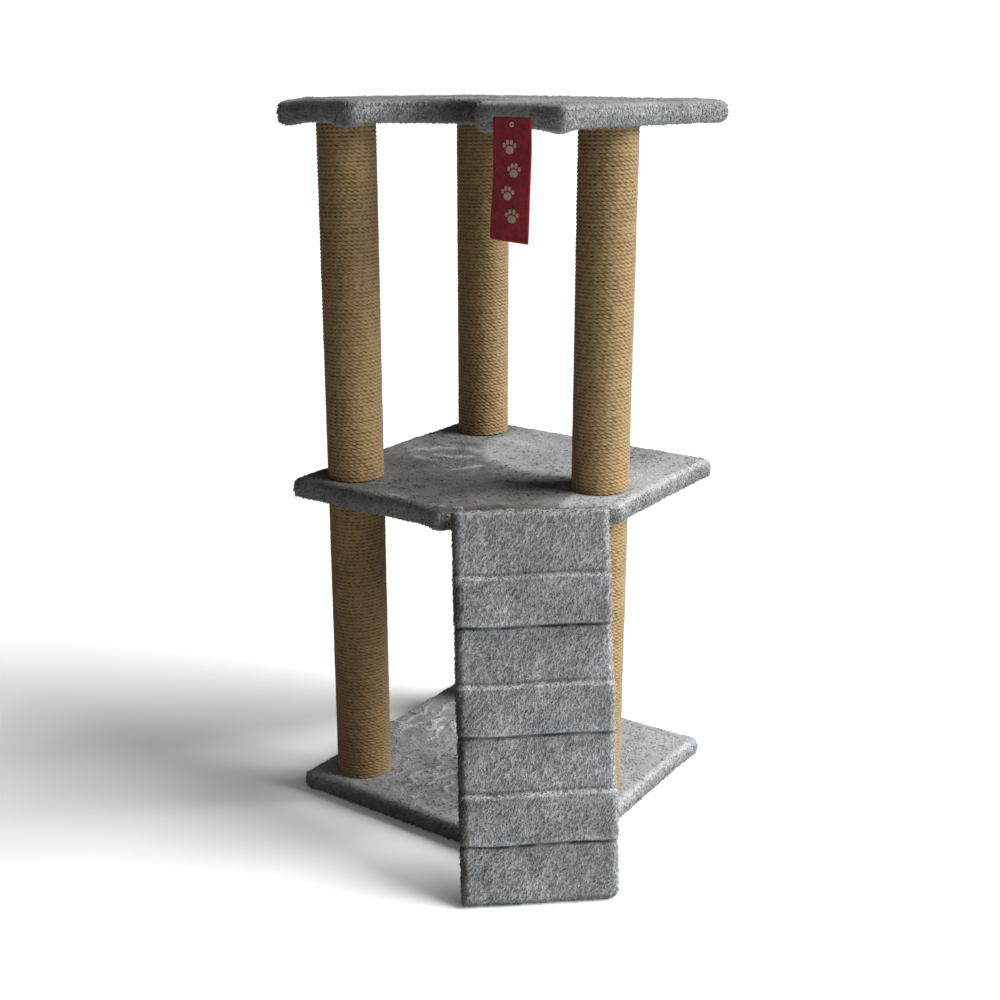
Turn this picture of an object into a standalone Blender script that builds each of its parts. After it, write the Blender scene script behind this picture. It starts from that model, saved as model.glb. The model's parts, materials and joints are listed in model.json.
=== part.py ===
"""Cat tree: three plush-covered boards on rope-wound posts, with a hinged ramp to the middle board.

Units are metres.  The origin is on the floor under the middle of the base board.  X runs along the
boards' front-left edge, Y runs back from it, Z is up.  The middle board's front corner (+X, -Y) is
cut off at a slant, and the ramp hangs there from a strip hinge.
"""

import math

import bmesh
import bpy
from mathutils import Matrix

# ---- boards -------------------------------------------------------------------------------------
DECK_X = 0.490  # covered width along X
DECK_Y = 0.480  # covered width along Y
BOARD_T = 0.022  # chipboard
PLUSH_T = 0.0055  # plush backing and standing pile
COVER_GAP = 0.0005  # between a board and its cover
CORNER_R = 0.010  # covered corner, in plan
COVER_EDGE_R = 0.009  # covered rim, in section
HEM_W = 0.018  # width of plush turned under a board
CLEAR = 0.0003  # between pieces that touch

# ---- posts --------------------------------------------------------------------------------------
TUBE_R = 0.039  # outside of the card tube
TUBE_WALL = 0.003
ROPE_D = 0.006  # rope wound round the tube
LOWER_POST_H = 0.4815
UPPER_POST_H = 0.5425
PLUG_T = 0.025  # wooden plug in each end of a tube
POST_INSETS = {  # side of each axis, and its distance from the covered edges
    "left": (-1, 0.071, -1, 0.067),
    "back": (-1, 0.071, 1, 0.061),
    "right": (1, 0.065, 0, 0.011),
}

# ---- fasteners ----------------------------------------------------------------------------------
STUD_R = 0.004
BOLT_HEAD_R = 0.009
BOLT_HEAD_T = 0.0042
STUD_GRIP = 0.020  # length of stud or bolt inside a plug
TEE_FLANGE_R = 0.010
TEE_FLANGE_T = 0.0016
TEE_BARREL_R = 0.0055
TEE_BARREL_L = 0.012

# ---- cut-outs -----------------------------------------------------------------------------------
NOTCH_R = 0.102  # climbing notch in the top board's front-left edge
NOTCH_FILLET = 0.019  # rounded corners of its mouth
CHAMFER_X = 0.207  # cut corner of the middle board, measured back along X
CHAMFER_TURN = math.radians(40.0)  # its direction, turned from X

# ---- ramp ---------------------------------------------------------------------------------------
RAMP_W = 0.231
RAMP_BOARD_T = 0.013
RAMP_LEAN = math.radians(17.2)  # from upright, at rest on the floor
RAMP_HEAD = 0.0020  # ramp above its hinge axis
RAMP_EDGE_R = 0.006
RAMP_HEM_W = 0.040
SLAT_FIRST = 0.094  # top of the first step, from the ramp's top end
SLAT_PITCH = 0.159
SLAT_COUNT = 3
SLAT_L = 0.074  # covered length of a step
SLAT_T = 0.0045

# ---- hinge --------------------------------------------------------------------------------------
KNUCKLE_R = 0.003
KNUCKLE_L = 0.024
KNUCKLE_GAP = 0.0004
KNUCKLE_COUNT = 5
HINGE_PIN_R = 0.0015
LEAF_T = 0.0015
LEAF_W = 0.018
TAB_INSET = 0.0001  # a knuckle's tab is this much thinner than the plate all round
HINGE_DROP = 0.0071  # hinge axis below the middle board's covered top
SCREW_R = 0.0018
SCREW_HEAD_R = 0.0034
SCREW_HEAD_T = 0.0012
SCREW_L = 0.015
SCREW_X = 0.036  # screws either side of the hinge's middle

# ---- tag ----------------------------------------------------------------------------------------
TAG_W = 0.060
TAG_L = 0.162
TAG_T = 0.0012
TAG_X = 0.1675
TAG_DROP = 0.0190  # tag's top edge below the top board's covered top
EYELET_DROP = 0.0090  # eyelet below the tag's top edge
EYELET_FLANGE_R = 0.0035
EYELET_FLANGE_T = 0.0005
EYELET_BARREL_R = 0.0024
EYELET_BORE_R = 0.0017

# ---- fineness -----------------------------------------------------------------------------------
POST_SIDES = 32
PLUG_SIDES = 24
SMALL_SIDES = 12
CORNER_STEPS = 5
NOTCH_STEPS = 18
EDGE_STEPS = 3
MERGE = 1e-6
CUT_PAST = 0.002  # how far a cutter runs past the face it opens

# ---- heights that follow ------------------------------------------------------------------------
DECK_T = BOARD_T + 2 * (PLUSH_T + COVER_GAP)
BASE_Z = 0.0
LOWER_POST_Z = BASE_Z + DECK_T + CLEAR
MIDDLE_Z = LOWER_POST_Z + LOWER_POST_H + CLEAR
UPPER_POST_Z = MIDDLE_Z + DECK_T + CLEAR
TOP_Z = UPPER_POST_Z + UPPER_POST_H + CLEAR
BOARD_INSET = PLUSH_T + COVER_GAP
LINING_INSET = PLUSH_T + HEM_W + CLEAR
POST_R = TUBE_R + ROPE_D

for leftover in list(bpy.data.objects):
    bpy.data.objects.remove(leftover, do_unlink=True)


def new_collection(name):
    made = bpy.data.collections.new(name)
    bpy.context.scene.collection.children.link(made)
    return made


PARTS = new_collection("cat_tree")
CUTTERS = new_collection("cutters")


def new_material(name, colour, roughness, metallic=0.0):
    made = bpy.data.materials.new(name)
    made.use_nodes = True
    shader = made.node_tree.nodes["Principled BSDF"]
    shader.inputs["Base Color"].default_value = (*colour, 1.0)
    shader.inputs["Roughness"].default_value = roughness
    shader.inputs["Metallic"].default_value = metallic
    return made


PLUSH = new_material("grey_plush", (0.36, 0.36, 0.37), 0.95)
CHIPBOARD = new_material("chipboard", (0.55, 0.42, 0.28), 0.85)
LINING = new_material("lining_felt", (0.10, 0.10, 0.11), 0.95)
CARD = new_material("card_tube", (0.48, 0.36, 0.24), 0.90)
ROPE = new_material("sisal_rope", (0.52, 0.38, 0.20), 0.90)
PLUG_WOOD = new_material("plug_wood", (0.62, 0.48, 0.30), 0.75)
ZINC = new_material("zinc_steel", (0.62, 0.62, 0.64), 0.35, 1.0)
TAG_CLOTH = new_material("tag_cloth", (0.20, 0.006, 0.012), 0.85)
EYELET_METAL = new_material("eyelet_metal", (0.70, 0.66, 0.60), 0.35, 1.0)


# ---- outlines -----------------------------------------------------------------------------------
def arc(centre, radius, start, end, steps):
    """Points along a round stretch, angles in radians, both ends included."""
    turn = (end - start) / steps
    return [
        (
            centre[0] + radius * math.cos(start + turn * step),
            centre[1] + radius * math.sin(start + turn * step),
        )
        for step in range(steps + 1)
    ]


def inset_polygon(corners, inset):
    """The corners of a counter-clockwise outline after each side moves inwards."""
    lines = []
    for index, (x0, y0) in enumerate(corners):
        x1, y1 = corners[(index + 1) % len(corners)]
        length = math.hypot(x1 - x0, y1 - y0)
        normal = (-(y1 - y0) / length, (x1 - x0) / length)
        lines.append((normal, normal[0] * x0 + normal[1] * y0 + inset))
    moved = []
    for index, ((ax, ay), a_reach) in enumerate(lines):
        (bx, by), b_reach = lines[index - 1]
        scale = ax * by - ay * bx
        moved.append(((a_reach * by - b_reach * ay) / scale, (ax * b_reach - bx * a_reach) / scale))
    return moved


def rounded_corner(before, corner, after, radius):
    """The arc that rounds one convex corner of a counter-clockwise outline."""
    into = math.atan2(corner[1] - before[1], corner[0] - before[0])
    out = math.atan2(after[1] - corner[1], after[0] - corner[0])
    turn = (out - into) % (2 * math.pi)
    back = radius * math.tan(turn / 2)
    start = (corner[0] - back * math.cos(into), corner[1] - back * math.sin(into))
    centre = (start[0] - radius * math.sin(into), start[1] + radius * math.cos(into))
    steps = max(2, round(CORNER_STEPS * turn / (math.pi / 2)))
    return arc(centre, radius, into - math.pi / 2, into - math.pi / 2 + turn, steps)


def notch_arcs(inset):
    """The mouth's two rounded corners with the half-round notch between them."""
    fillet = max(NOTCH_FILLET - inset, PLUSH_T / 2)
    edge = -DECK_Y / 2
    reach = NOTCH_R + inset + fillet
    lift = inset + fillet
    side = math.sqrt(reach**2 - lift**2)
    dip = math.asin(lift / reach)
    left = arc((-side, edge + lift), fillet, -math.pi / 2, -dip, CORNER_STEPS)
    bay = arc((0.0, edge), NOTCH_R + inset, math.pi - dip, dip, NOTCH_STEPS)
    right = arc((side, edge + lift), fillet, math.pi + dip, 1.5 * math.pi, CORNER_STEPS)
    return left + bay[1:-1] + right


def deck_outline(shape, inset):
    """The counter-clockwise plan of a board, a cover or a lining, moved in from the covered edge."""
    half_x = DECK_X / 2
    half_y = DECK_Y / 2
    corners = [(-half_x, -half_y), (half_x, -half_y), (half_x, half_y), (-half_x, half_y)]
    if shape == "chamfered":
        rise = CHAMFER_X * math.tan(CHAMFER_TURN)
        corners[1:2] = [(half_x - CHAMFER_X, -half_y), (half_x, -half_y + rise)]
    moved = inset_polygon(corners, inset)
    radius = max(CORNER_R - inset, PLUSH_T / 2)
    points = []
    for index, corner in enumerate(moved):
        after = moved[(index + 1) % len(moved)]
        points += rounded_corner(moved[index - 1], corner, after, radius)
        if shape == "notched" and index == 0:
            points += notch_arcs(inset)
    return points


# ---- solids -------------------------------------------------------------------------------------
def place(mesh, name, material, collection=PARTS):
    """A new object for a mesh; cutters are drawn as wires and left out of renders."""
    made = bpy.data.objects.new(name, mesh)
    collection.objects.link(made)
    if material is None:
        made.hide_render = True
        made.display_type = "WIRE"
    else:
        mesh.materials.append(material)
    return made


def mesh_from(name, work):
    """A mesh made from a bmesh, with doubled points merged and flat faces joined."""
    bmesh.ops.remove_doubles(work, verts=work.verts, dist=MERGE)
    bmesh.ops.dissolve_limit(work, angle_limit=0.001, verts=work.verts, edges=work.edges)
    made = bpy.data.meshes.new(name)
    work.to_mesh(made)
    work.free()
    return made


def slab(name, outline, low, high, material, edge_r=0.0):
    """A flat outline with thickness, its rim rounded when edge_r is given."""
    curve = bpy.data.curves.new(name, "CURVE")
    curve.dimensions = "2D"
    curve.fill_mode = "BOTH"
    curve.extrude = (high - low) / 2
    spline = curve.splines.new("POLY")
    spline.points.add(len(outline) - 1)
    spline.use_cyclic_u = True
    for point, (x, y) in zip(spline.points, outline):
        point.co = (x, y, 0.0, 1.0)
    flat = bpy.data.objects.new(name + "_outline", curve)
    CUTTERS.objects.link(flat)
    flat.location.z = (low + high) / 2
    bpy.context.view_layer.update()
    evaluated = flat.evaluated_get(bpy.context.evaluated_depsgraph_get())
    work = bmesh.new()
    work.from_mesh(bpy.data.meshes.new_from_object(evaluated))
    bmesh.ops.transform(work, matrix=flat.matrix_world, verts=work.verts)
    bpy.data.objects.remove(flat, do_unlink=True)
    made = place(mesh_from(name, work), name, material, PARTS if material else CUTTERS)
    if edge_r:
        rim = made.modifiers.new("rounded_rim", "BEVEL")
        rim.width = edge_r
        rim.segments = EDGE_STEPS
        rim.limit_method = "ANGLE"
        rim.angle_limit = math.radians(60)
    return made


def box(name, low, high, material, edge_r=0.0, parent=None):
    """A box between two corners, every edge rounded when edge_r is given."""
    work = bmesh.new()
    bmesh.ops.create_cube(work, size=1.0)
    sides = [end - start for start, end in zip(low, high)]
    middle = [(end + start) / 2 for start, end in zip(low, high)]
    shift = Matrix.Translation(middle) @ Matrix.Diagonal((*sides, 1.0))
    bmesh.ops.transform(work, matrix=shift, verts=work.verts)
    mesh = bpy.data.meshes.new(name)
    work.to_mesh(mesh)
    work.free()
    made = place(mesh, name, material, PARTS if material else CUTTERS)
    made.parent = parent
    if edge_r:
        rim = made.modifiers.new("rounded_edges", "BEVEL")
        rim.width = edge_r
        rim.segments = EDGE_STEPS
        rim.limit_method = "ANGLE"
    return made


def turned(name, profile, material, steps, at=(0.0, 0.0, 0.0), closed=False):
    """A profile of (radius, height) points, top to bottom on its outer side, spun about Z."""
    mesh = bpy.data.meshes.new(name)
    edges = [(index, index + 1) for index in range(len(profile) - 1)]
    if closed:
        edges.append((len(profile) - 1, 0))
    mesh.from_pydata([(radius, 0.0, height) for radius, height in profile], edges, [])
    made = place(mesh, name, material, PARTS if material else CUTTERS)
    made.location = at
    spin = made.modifiers.new("spin", "SCREW")
    spin.steps = steps
    spin.render_steps = steps
    spin.use_merge_vertices = True
    spin.merge_threshold = MERGE
    spin.use_smooth_shade = False
    return made


def ring(name, inner_r, outer_r, low, high, material, steps, at=(0.0, 0.0, 0.0)):
    profile = [(inner_r, high), (outer_r, high), (outer_r, low), (inner_r, low)]
    return turned(name, profile, material, steps, at, closed=True)


def rod(name, radius, low, high, material, steps, at=(0.0, 0.0, 0.0)):
    return turned(name, [(0.0, high), (radius, high), (radius, low), (0.0, low)], material, steps, at)


def cut(target, cutter, operation="DIFFERENCE"):
    change = target.modifiers.new(cutter.name, "BOOLEAN")
    change.operation = operation
    change.solver = "EXACT"
    change.object = cutter


def lay_across(piece, frame):
    """Turn a piece made along Z to lie along its frame's X axis."""
    piece.rotation_euler = (0.0, math.pi / 2, 0.0)
    piece.parent = frame


# ---- where the posts stand ----------------------------------------------------------------------
def post_place(side_x, inset_x, side_y, inset_y):
    """A post's centre; side 0 puts it the given distance in front of the middle of its edge."""
    x = side_x * (DECK_X / 2 - inset_x)
    y = side_y * (DECK_Y / 2 - inset_y) if side_y else -inset_y
    return x, y


POSTS = {name: post_place(*insets) for name, insets in POST_INSETS.items()}


# ---- decks --------------------------------------------------------------------------------------
def deck(level, shape, bottom):
    """One board with its plush cover and its underside lining, drilled for the posts' studs."""
    board_low = bottom + BOARD_INSET
    board_high = board_low + BOARD_T
    cover_high = bottom + DECK_T
    board = slab(f"{level}_board", deck_outline(shape, BOARD_INSET), board_low, board_high, CHIPBOARD)
    cover = slab(
        f"{level}_plush_cover", deck_outline(shape, 0.0), bottom, cover_high, PLUSH, COVER_EDGE_R
    )
    pocket = slab(
        f"{level}_pocket", deck_outline(shape, PLUSH_T), bottom + PLUSH_T, cover_high - PLUSH_T, None
    )
    window = slab(
        f"{level}_window",
        deck_outline(shape, PLUSH_T + HEM_W),
        bottom - CUT_PAST,
        bottom + PLUSH_T + CUT_PAST,
        None,
    )
    lining = slab(
        f"{level}_lining", deck_outline(shape, LINING_INSET), bottom, bottom + PLUSH_T, LINING
    )
    cut(cover, pocket)
    cut(cover, window)
    for side, (x, y) in POSTS.items():
        through = rod(
            f"{level}_{side}_hole",
            STUD_R + CLEAR,
            bottom - CUT_PAST,
            cover_high + CUT_PAST,
            None,
            SMALL_SIDES,
            (x, y, 0.0),
        )
        cut(board, through)
        if level != "top":
            cut(cover, through)
        if level == "base":
            head_room = rod(
                f"{level}_{side}_head_room",
                BOLT_HEAD_R + CLEAR,
                bottom - CUT_PAST,
                bottom + PLUSH_T + CLEAR,
                None,
                SMALL_SIDES,
                (x, y, 0.0),
            )
            cut(lining, head_room)
        else:
            cut(lining, through)
        if level == "top":
            seat = turned(
                f"{level}_{side}_tee_seat",
                [
                    (0.0, board_high + CUT_PAST),
                    (TEE_FLANGE_R + CLEAR, board_high + CUT_PAST),
                    (TEE_FLANGE_R + CLEAR, board_high - TEE_FLANGE_T - CLEAR),
                    (TEE_BARREL_R + CLEAR, board_high - TEE_FLANGE_T - CLEAR),
                    (TEE_BARREL_R + CLEAR, board_high - TEE_BARREL_L - CLEAR),
                    (0.0, board_high - TEE_BARREL_L - CLEAR),
                ],
                None,
                SMALL_SIDES,
                (x, y, 0.0),
            )
            cut(board, seat)
    return board, cover


# ---- posts --------------------------------------------------------------------------------------
def post(name, x, y, low, high):
    """A card tube wound with rope over its whole height, with a drilled plug in each end."""
    plug_r = TUBE_R - TUBE_WALL - CLEAR
    at = (x, y, 0.0)
    ring(f"{name}_tube", TUBE_R - TUBE_WALL, TUBE_R, low, high, CARD, POST_SIDES, at)
    ring(f"{name}_rope", TUBE_R + CLEAR, POST_R, low, high, ROPE, POST_SIDES, at)
    for end, plug_low in (("bottom", low), ("top", high - PLUG_T)):
        ring(
            f"{name}_{end}_plug",
            STUD_R + CLEAR,
            plug_r,
            plug_low,
            plug_low + PLUG_T,
            PLUG_WOOD,
            PLUG_SIDES,
            at,
        )


def base_bolt(name, x, y):
    """A flat-headed bolt, up through the base into the lower plug."""
    head_high = BASE_Z + BOARD_INSET - CLEAR
    head_low = head_high - BOLT_HEAD_T
    tip = LOWER_POST_Z + STUD_GRIP
    profile = [
        (0.0, tip),
        (STUD_R, tip),
        (STUD_R, head_high),
        (BOLT_HEAD_R, head_high),
        (BOLT_HEAD_R, head_low),
        (0.0, head_low),
    ]
    turned(name, profile, ZINC, SMALL_SIDES, (x, y, 0.0))


def tee_nut(name, x, y):
    """A flanged nut let into the top board from above, under the plush."""
    board_high = TOP_Z + BOARD_INSET + BOARD_T
    barrel_low = board_high - TEE_BARREL_L
    flange_low = board_high - TEE_FLANGE_T
    bore = STUD_R + CLEAR
    profile = [
        (bore, board_high),
        (TEE_FLANGE_R, board_high),
        (TEE_FLANGE_R, flange_low),
        (TEE_BARREL_R, flange_low),
        (TEE_BARREL_R, barrel_low),
        (bore, barrel_low),
    ]
    turned(name, profile, ZINC, SMALL_SIDES, (x, y, 0.0), closed=True)


# ---- ramp ---------------------------------------------------------------------------------------
def axis_frame(name, at, turn):
    made = bpy.data.objects.new(name, None)
    PARTS.objects.link(made)
    made.location = at
    made.rotation_euler = turn
    return made


def ramp_length(pivot_z, back):
    """How far the ramp reaches below its axis, so that its rounded back edge just meets the floor."""
    rise = pivot_z - CLEAR - RAMP_EDGE_R + (back + RAMP_EDGE_R) * math.sin(RAMP_LEAN)
    return rise / math.cos(RAMP_LEAN) + RAMP_EDGE_R


def ramp(pivot):
    """Board, steps and plush cover, in the pivot's frame: X across, -Y out of the front, Z up it."""
    half_w = RAMP_W / 2
    back = -(KNUCKLE_R + CLEAR)
    front = back - RAMP_BOARD_T - 2 * BOARD_INSET
    foot = -ramp_length(pivot.location.z, KNUCKLE_R + CLEAR)
    board_back = back - BOARD_INSET
    board_front = board_back - RAMP_BOARD_T
    board = box(
        "ramp_board",
        (-half_w + BOARD_INSET, board_front, foot + BOARD_INSET),
        (half_w - BOARD_INSET, board_back, RAMP_HEAD - BOARD_INSET),
        CHIPBOARD,
        parent=pivot,
    )
    cover = box(
        "ramp_plush_cover", (-half_w, front, foot), (half_w, back, RAMP_HEAD), PLUSH, RAMP_EDGE_R, pivot
    )
    tops = [RAMP_HEAD - SLAT_FIRST - SLAT_PITCH * index for index in range(SLAT_COUNT)]
    for index, top in enumerate(tops, start=1):
        swell = box(
            f"ramp_swell_{index}",
            (-half_w + RAMP_EDGE_R / 2, front - SLAT_T, top - SLAT_L),
            (half_w - RAMP_EDGE_R / 2, front + PLUSH_T / 2, top),
            None,
            SLAT_T / 2,
            pivot,
        )
        cut(cover, swell, "UNION")
    pocket = box(
        "ramp_pocket",
        (-half_w + PLUSH_T, front + PLUSH_T, foot + PLUSH_T),
        (half_w - PLUSH_T, back - PLUSH_T, RAMP_HEAD - PLUSH_T),
        None,
        parent=pivot,
    )
    window = box(
        "ramp_window",
        (-half_w + RAMP_HEM_W, back - PLUSH_T - CUT_PAST, foot + RAMP_HEM_W),
        (half_w - RAMP_HEM_W, back + CUT_PAST, RAMP_HEAD - RAMP_HEM_W),
        None,
        parent=pivot,
    )
    cut(cover, pocket)
    cut(cover, window)
    for index, top in enumerate(tops, start=1):
        step_low = (-half_w + BOARD_INSET, board_front - CLEAR - SLAT_T, top - SLAT_L + BOARD_INSET)
        step_high = (half_w - BOARD_INSET, board_front - CLEAR, top - BOARD_INSET)
        box(f"ramp_step_{index}", step_low, step_high, PLUG_WOOD, parent=pivot)
        step_room = box(
            f"ramp_step_room_{index}",
            (step_low[0] - COVER_GAP, step_low[1] - COVER_GAP, step_low[2] - COVER_GAP),
            (step_high[0] + COVER_GAP, step_high[1] + CUT_PAST, step_high[2] + COVER_GAP),
            None,
            parent=pivot,
        )
        cut(cover, step_room)
    return board, cover


# ---- hinge --------------------------------------------------------------------------------------
def knuckle_span(index):
    """The X range of one knuckle along the hinge."""
    low = (index - KNUCKLE_COUNT / 2) * KNUCKLE_L
    return low + KNUCKLE_GAP / 2, low + KNUCKLE_L - KNUCKLE_GAP / 2


def leaf(name, side, knuckles, frame):
    """A hinge plate with its knuckles; side +1 lies on the deck, side -1 on the ramp's back."""
    half = KNUCKLE_COUNT * KNUCKLE_L / 2 - KNUCKLE_GAP
    near, far = sorted((side * (KNUCKLE_R - LEAF_T), side * KNUCKLE_R))
    plate_top = -KNUCKLE_R - KNUCKLE_GAP
    plate = box(name, (-half, near, plate_top - LEAF_W), (half, far, plate_top), ZINC, parent=frame)
    for index in knuckles:
        start, end = knuckle_span(index)
        tab_low = (start + TAB_INSET, near + TAB_INSET, plate_top - LEAF_T)
        tab_high = (end - TAB_INSET, far - TAB_INSET, -KNUCKLE_R / 2)
        tab = box(f"{name}_tab_{index}", tab_low, tab_high, None, parent=frame)
        barrel = ring(
            f"{name}_knuckle_{index}", HINGE_PIN_R + CLEAR, KNUCKLE_R, start, end, None, SMALL_SIDES
        )
        lay_across(barrel, frame)
        cut(plate, tab, "UNION")
        cut(plate, barrel, "UNION")
    return plate


def leaf_screws(name, side, frame, drilled):
    """Two pan-headed screws through a leaf, its plush and the wood behind, and their holes."""
    face = side * (KNUCKLE_R - LEAF_T - CLEAR)
    height = -KNUCKLE_R - KNUCKLE_GAP - LEAF_W / 2
    for hand, x in (("left", -SCREW_X), ("right", SCREW_X)):
        profile = [
            (0.0, SCREW_HEAD_T),
            (SCREW_HEAD_R, SCREW_HEAD_T),
            (SCREW_HEAD_R, 0.0),
            (SCREW_R, 0.0),
            (SCREW_R, -SCREW_L),
            (0.0, -SCREW_L),
        ]
        screw = turned(f"{name}_screw_{hand}", profile, ZINC, SMALL_SIDES, (x, face, height))
        hole = rod(
            f"{name}_screw_hole_{hand}",
            SCREW_R + CLEAR,
            -SCREW_L - CLEAR,
            CUT_PAST,
            None,
            SMALL_SIDES,
            (x, face, height),
        )
        for piece in (screw, hole):
            piece.rotation_euler = (side * math.pi / 2, 0.0, 0.0)
            piece.parent = frame
        for piece in drilled:
            cut(piece, hole)


# ---- tag ----------------------------------------------------------------------------------------
def hang_tag():
    """A cloth label hanging from the top board's front-left rim, with an eyelet near its top."""
    face = -DECK_Y / 2 - COVER_GAP
    at = (TAG_X, face - TAG_T / 2, TOP_Z + DECK_T - TAG_DROP)
    axis = axis_frame("tag_axis", at, (0.0, 0.0, 0.0))
    low = (-TAG_W / 2, -TAG_T / 2, -TAG_L)
    tag = box("tag", low, (TAG_W / 2, TAG_T / 2, 0.0), TAG_CLOTH, parent=axis)
    middle = (0.0, 0.0, -EYELET_DROP)
    room = rod("tag_eyelet_room", EYELET_BARREL_R + CLEAR, -TAG_T, TAG_T, None, SMALL_SIDES, middle)
    flange_back = TAG_T / 2 + CLEAR
    profile = [
        (EYELET_BORE_R, flange_back + EYELET_FLANGE_T),
        (EYELET_FLANGE_R, flange_back + EYELET_FLANGE_T),
        (EYELET_FLANGE_R, flange_back),
        (EYELET_BARREL_R, flange_back),
        (EYELET_BARREL_R, -TAG_T / 2),
        (EYELET_BORE_R, -TAG_T / 2),
    ]
    eyelet = turned("tag_eyelet", profile, EYELET_METAL, SMALL_SIDES, middle, closed=True)
    for piece in (room, eyelet):
        piece.rotation_euler = (math.pi / 2, 0.0, 0.0)
        piece.parent = axis
    cut(tag, room)


# ---- assembly -----------------------------------------------------------------------------------
def build():
    deck("base", "square", BASE_Z)
    middle_board, middle_cover = deck("middle", "chamfered", MIDDLE_Z)
    deck("top", "notched", TOP_Z)

    for side, (x, y) in POSTS.items():
        post(f"lower_{side}_post", x, y, LOWER_POST_Z, LOWER_POST_Z + LOWER_POST_H)
        post(f"upper_{side}_post", x, y, UPPER_POST_Z, UPPER_POST_Z + UPPER_POST_H)
        base_bolt(f"base_bolt_{side}", x, y)
        middle_low = MIDDLE_Z - CLEAR - STUD_GRIP
        middle_high = UPPER_POST_Z + STUD_GRIP
        rod(f"middle_stud_{side}", STUD_R, middle_low, middle_high, ZINC, SMALL_SIDES, (x, y, 0.0))
        top_low = TOP_Z - CLEAR - STUD_GRIP
        top_high = TOP_Z + BOARD_INSET + BOARD_T - TEE_FLANGE_T
        rod(f"top_stud_{side}", STUD_R, top_low, top_high, ZINC, SMALL_SIDES, (x, y, 0.0))
        tee_nut(f"top_tee_nut_{side}", x, y)

    out = (math.sin(CHAMFER_TURN), -math.cos(CHAMFER_TURN))
    middle_x = DECK_X / 2 - CHAMFER_X / 2
    middle_y = -DECK_Y / 2 + CHAMFER_X * math.tan(CHAMFER_TURN) / 2
    stand_off = KNUCKLE_R + CLEAR
    axis_at = (
        middle_x + out[0] * stand_off,
        middle_y + out[1] * stand_off,
        MIDDLE_Z + DECK_T - HINGE_DROP,
    )
    deck_side = axis_frame("hinge_deck_side", axis_at, (0.0, 0.0, CHAMFER_TURN))
    ramp_side = axis_frame("hinge_ramp_side", axis_at, (-RAMP_LEAN, 0.0, CHAMFER_TURN))
    ramp_board, ramp_cover = ramp(ramp_side)
    fixed = leaf("hinge_deck_leaf", 1, range(0, KNUCKLE_COUNT, 2), deck_side)
    moving = leaf("hinge_ramp_leaf", -1, range(1, KNUCKLE_COUNT, 2), ramp_side)
    pin_half = KNUCKLE_COUNT * KNUCKLE_L / 2
    lay_across(rod("hinge_pin", HINGE_PIN_R, -pin_half, pin_half, ZINC, SMALL_SIDES), deck_side)
    leaf_screws("deck_leaf", 1, deck_side, (fixed, middle_cover, middle_board))
    leaf_screws("ramp_leaf", -1, ramp_side, (moving, ramp_cover, ramp_board))

    hang_tag()


build()
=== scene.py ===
"""The looks of the cat tree: plush with standing pile, wound sisal rope, a hanging label, wood and zinc.

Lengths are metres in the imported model's frame: +X along the boards' front-left edge, +Y back from it, +Z up.
"""

import json
import math

import bpy
import numpy as np
from mathutils import Matrix, Vector
from mathutils.geometry import delaunay_2d_cdt


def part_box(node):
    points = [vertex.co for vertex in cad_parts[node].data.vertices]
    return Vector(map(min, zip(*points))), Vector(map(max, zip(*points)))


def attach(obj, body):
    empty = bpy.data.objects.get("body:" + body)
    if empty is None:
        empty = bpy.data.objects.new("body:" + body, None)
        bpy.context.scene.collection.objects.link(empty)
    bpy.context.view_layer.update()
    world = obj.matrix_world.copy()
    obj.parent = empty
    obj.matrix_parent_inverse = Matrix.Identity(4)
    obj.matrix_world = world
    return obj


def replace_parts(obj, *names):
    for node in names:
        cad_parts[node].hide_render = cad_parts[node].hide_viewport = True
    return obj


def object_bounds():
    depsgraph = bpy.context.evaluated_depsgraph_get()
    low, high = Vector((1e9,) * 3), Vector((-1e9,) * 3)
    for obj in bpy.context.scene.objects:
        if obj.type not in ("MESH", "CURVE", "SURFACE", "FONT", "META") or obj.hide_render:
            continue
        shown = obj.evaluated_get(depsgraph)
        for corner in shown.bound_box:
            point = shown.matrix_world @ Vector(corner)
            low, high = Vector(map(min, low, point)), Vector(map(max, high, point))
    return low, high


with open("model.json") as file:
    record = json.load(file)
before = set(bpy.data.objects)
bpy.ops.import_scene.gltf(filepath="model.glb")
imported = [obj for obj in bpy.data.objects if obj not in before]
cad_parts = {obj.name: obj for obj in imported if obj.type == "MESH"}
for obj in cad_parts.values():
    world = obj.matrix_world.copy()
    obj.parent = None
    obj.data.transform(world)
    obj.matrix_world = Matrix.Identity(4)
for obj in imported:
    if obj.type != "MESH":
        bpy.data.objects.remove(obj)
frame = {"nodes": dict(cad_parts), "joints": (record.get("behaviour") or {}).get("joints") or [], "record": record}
cad_low, cad_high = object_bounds()

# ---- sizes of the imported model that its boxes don't give ----
CORNER_R = 0.010
LEAST_R = 0.00275  # of a corner on the inside of a cover
COVER_T = 0.0055
EDGE_R = 0.0095
HEM_W = 0.018
ROPE_D = 0.006
CLEAR = 0.0003
NOTCH_R = 0.102
NOTCH_FILLET = 0.019
CHAMFER_X = 0.207  # the middle board's cut corner, along X
CHAMFER_TURN = math.radians(40.0)
RAMP_W = 0.231
RAMP_T = 0.025
RAMP_LEAN = math.radians(17.2)
RAMP_HEAD = 0.002
RAMP_STAND_OFF = 0.0033
RAMP_EDGE_R = 0.0095
RAMP_HEM_W = 0.040
STEP_TOPS = (-0.092, -0.251, -0.410)
STEP_L = 0.074
STEP_T = 0.0045
PILE_ROOM = 0.0002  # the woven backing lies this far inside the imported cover; its pile stands proud


# ---- camera ----
VIEW_PLACE = (1.1925, -1.7672, 1.1633)
VIEW_TURNS = (33.66, 16.86, 0.35)  # degrees: turned from +Y, looking down, rolled
LENS, SENSOR = 49.12, 36.0
FRAMING = (-0.0156, -0.0134)


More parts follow.
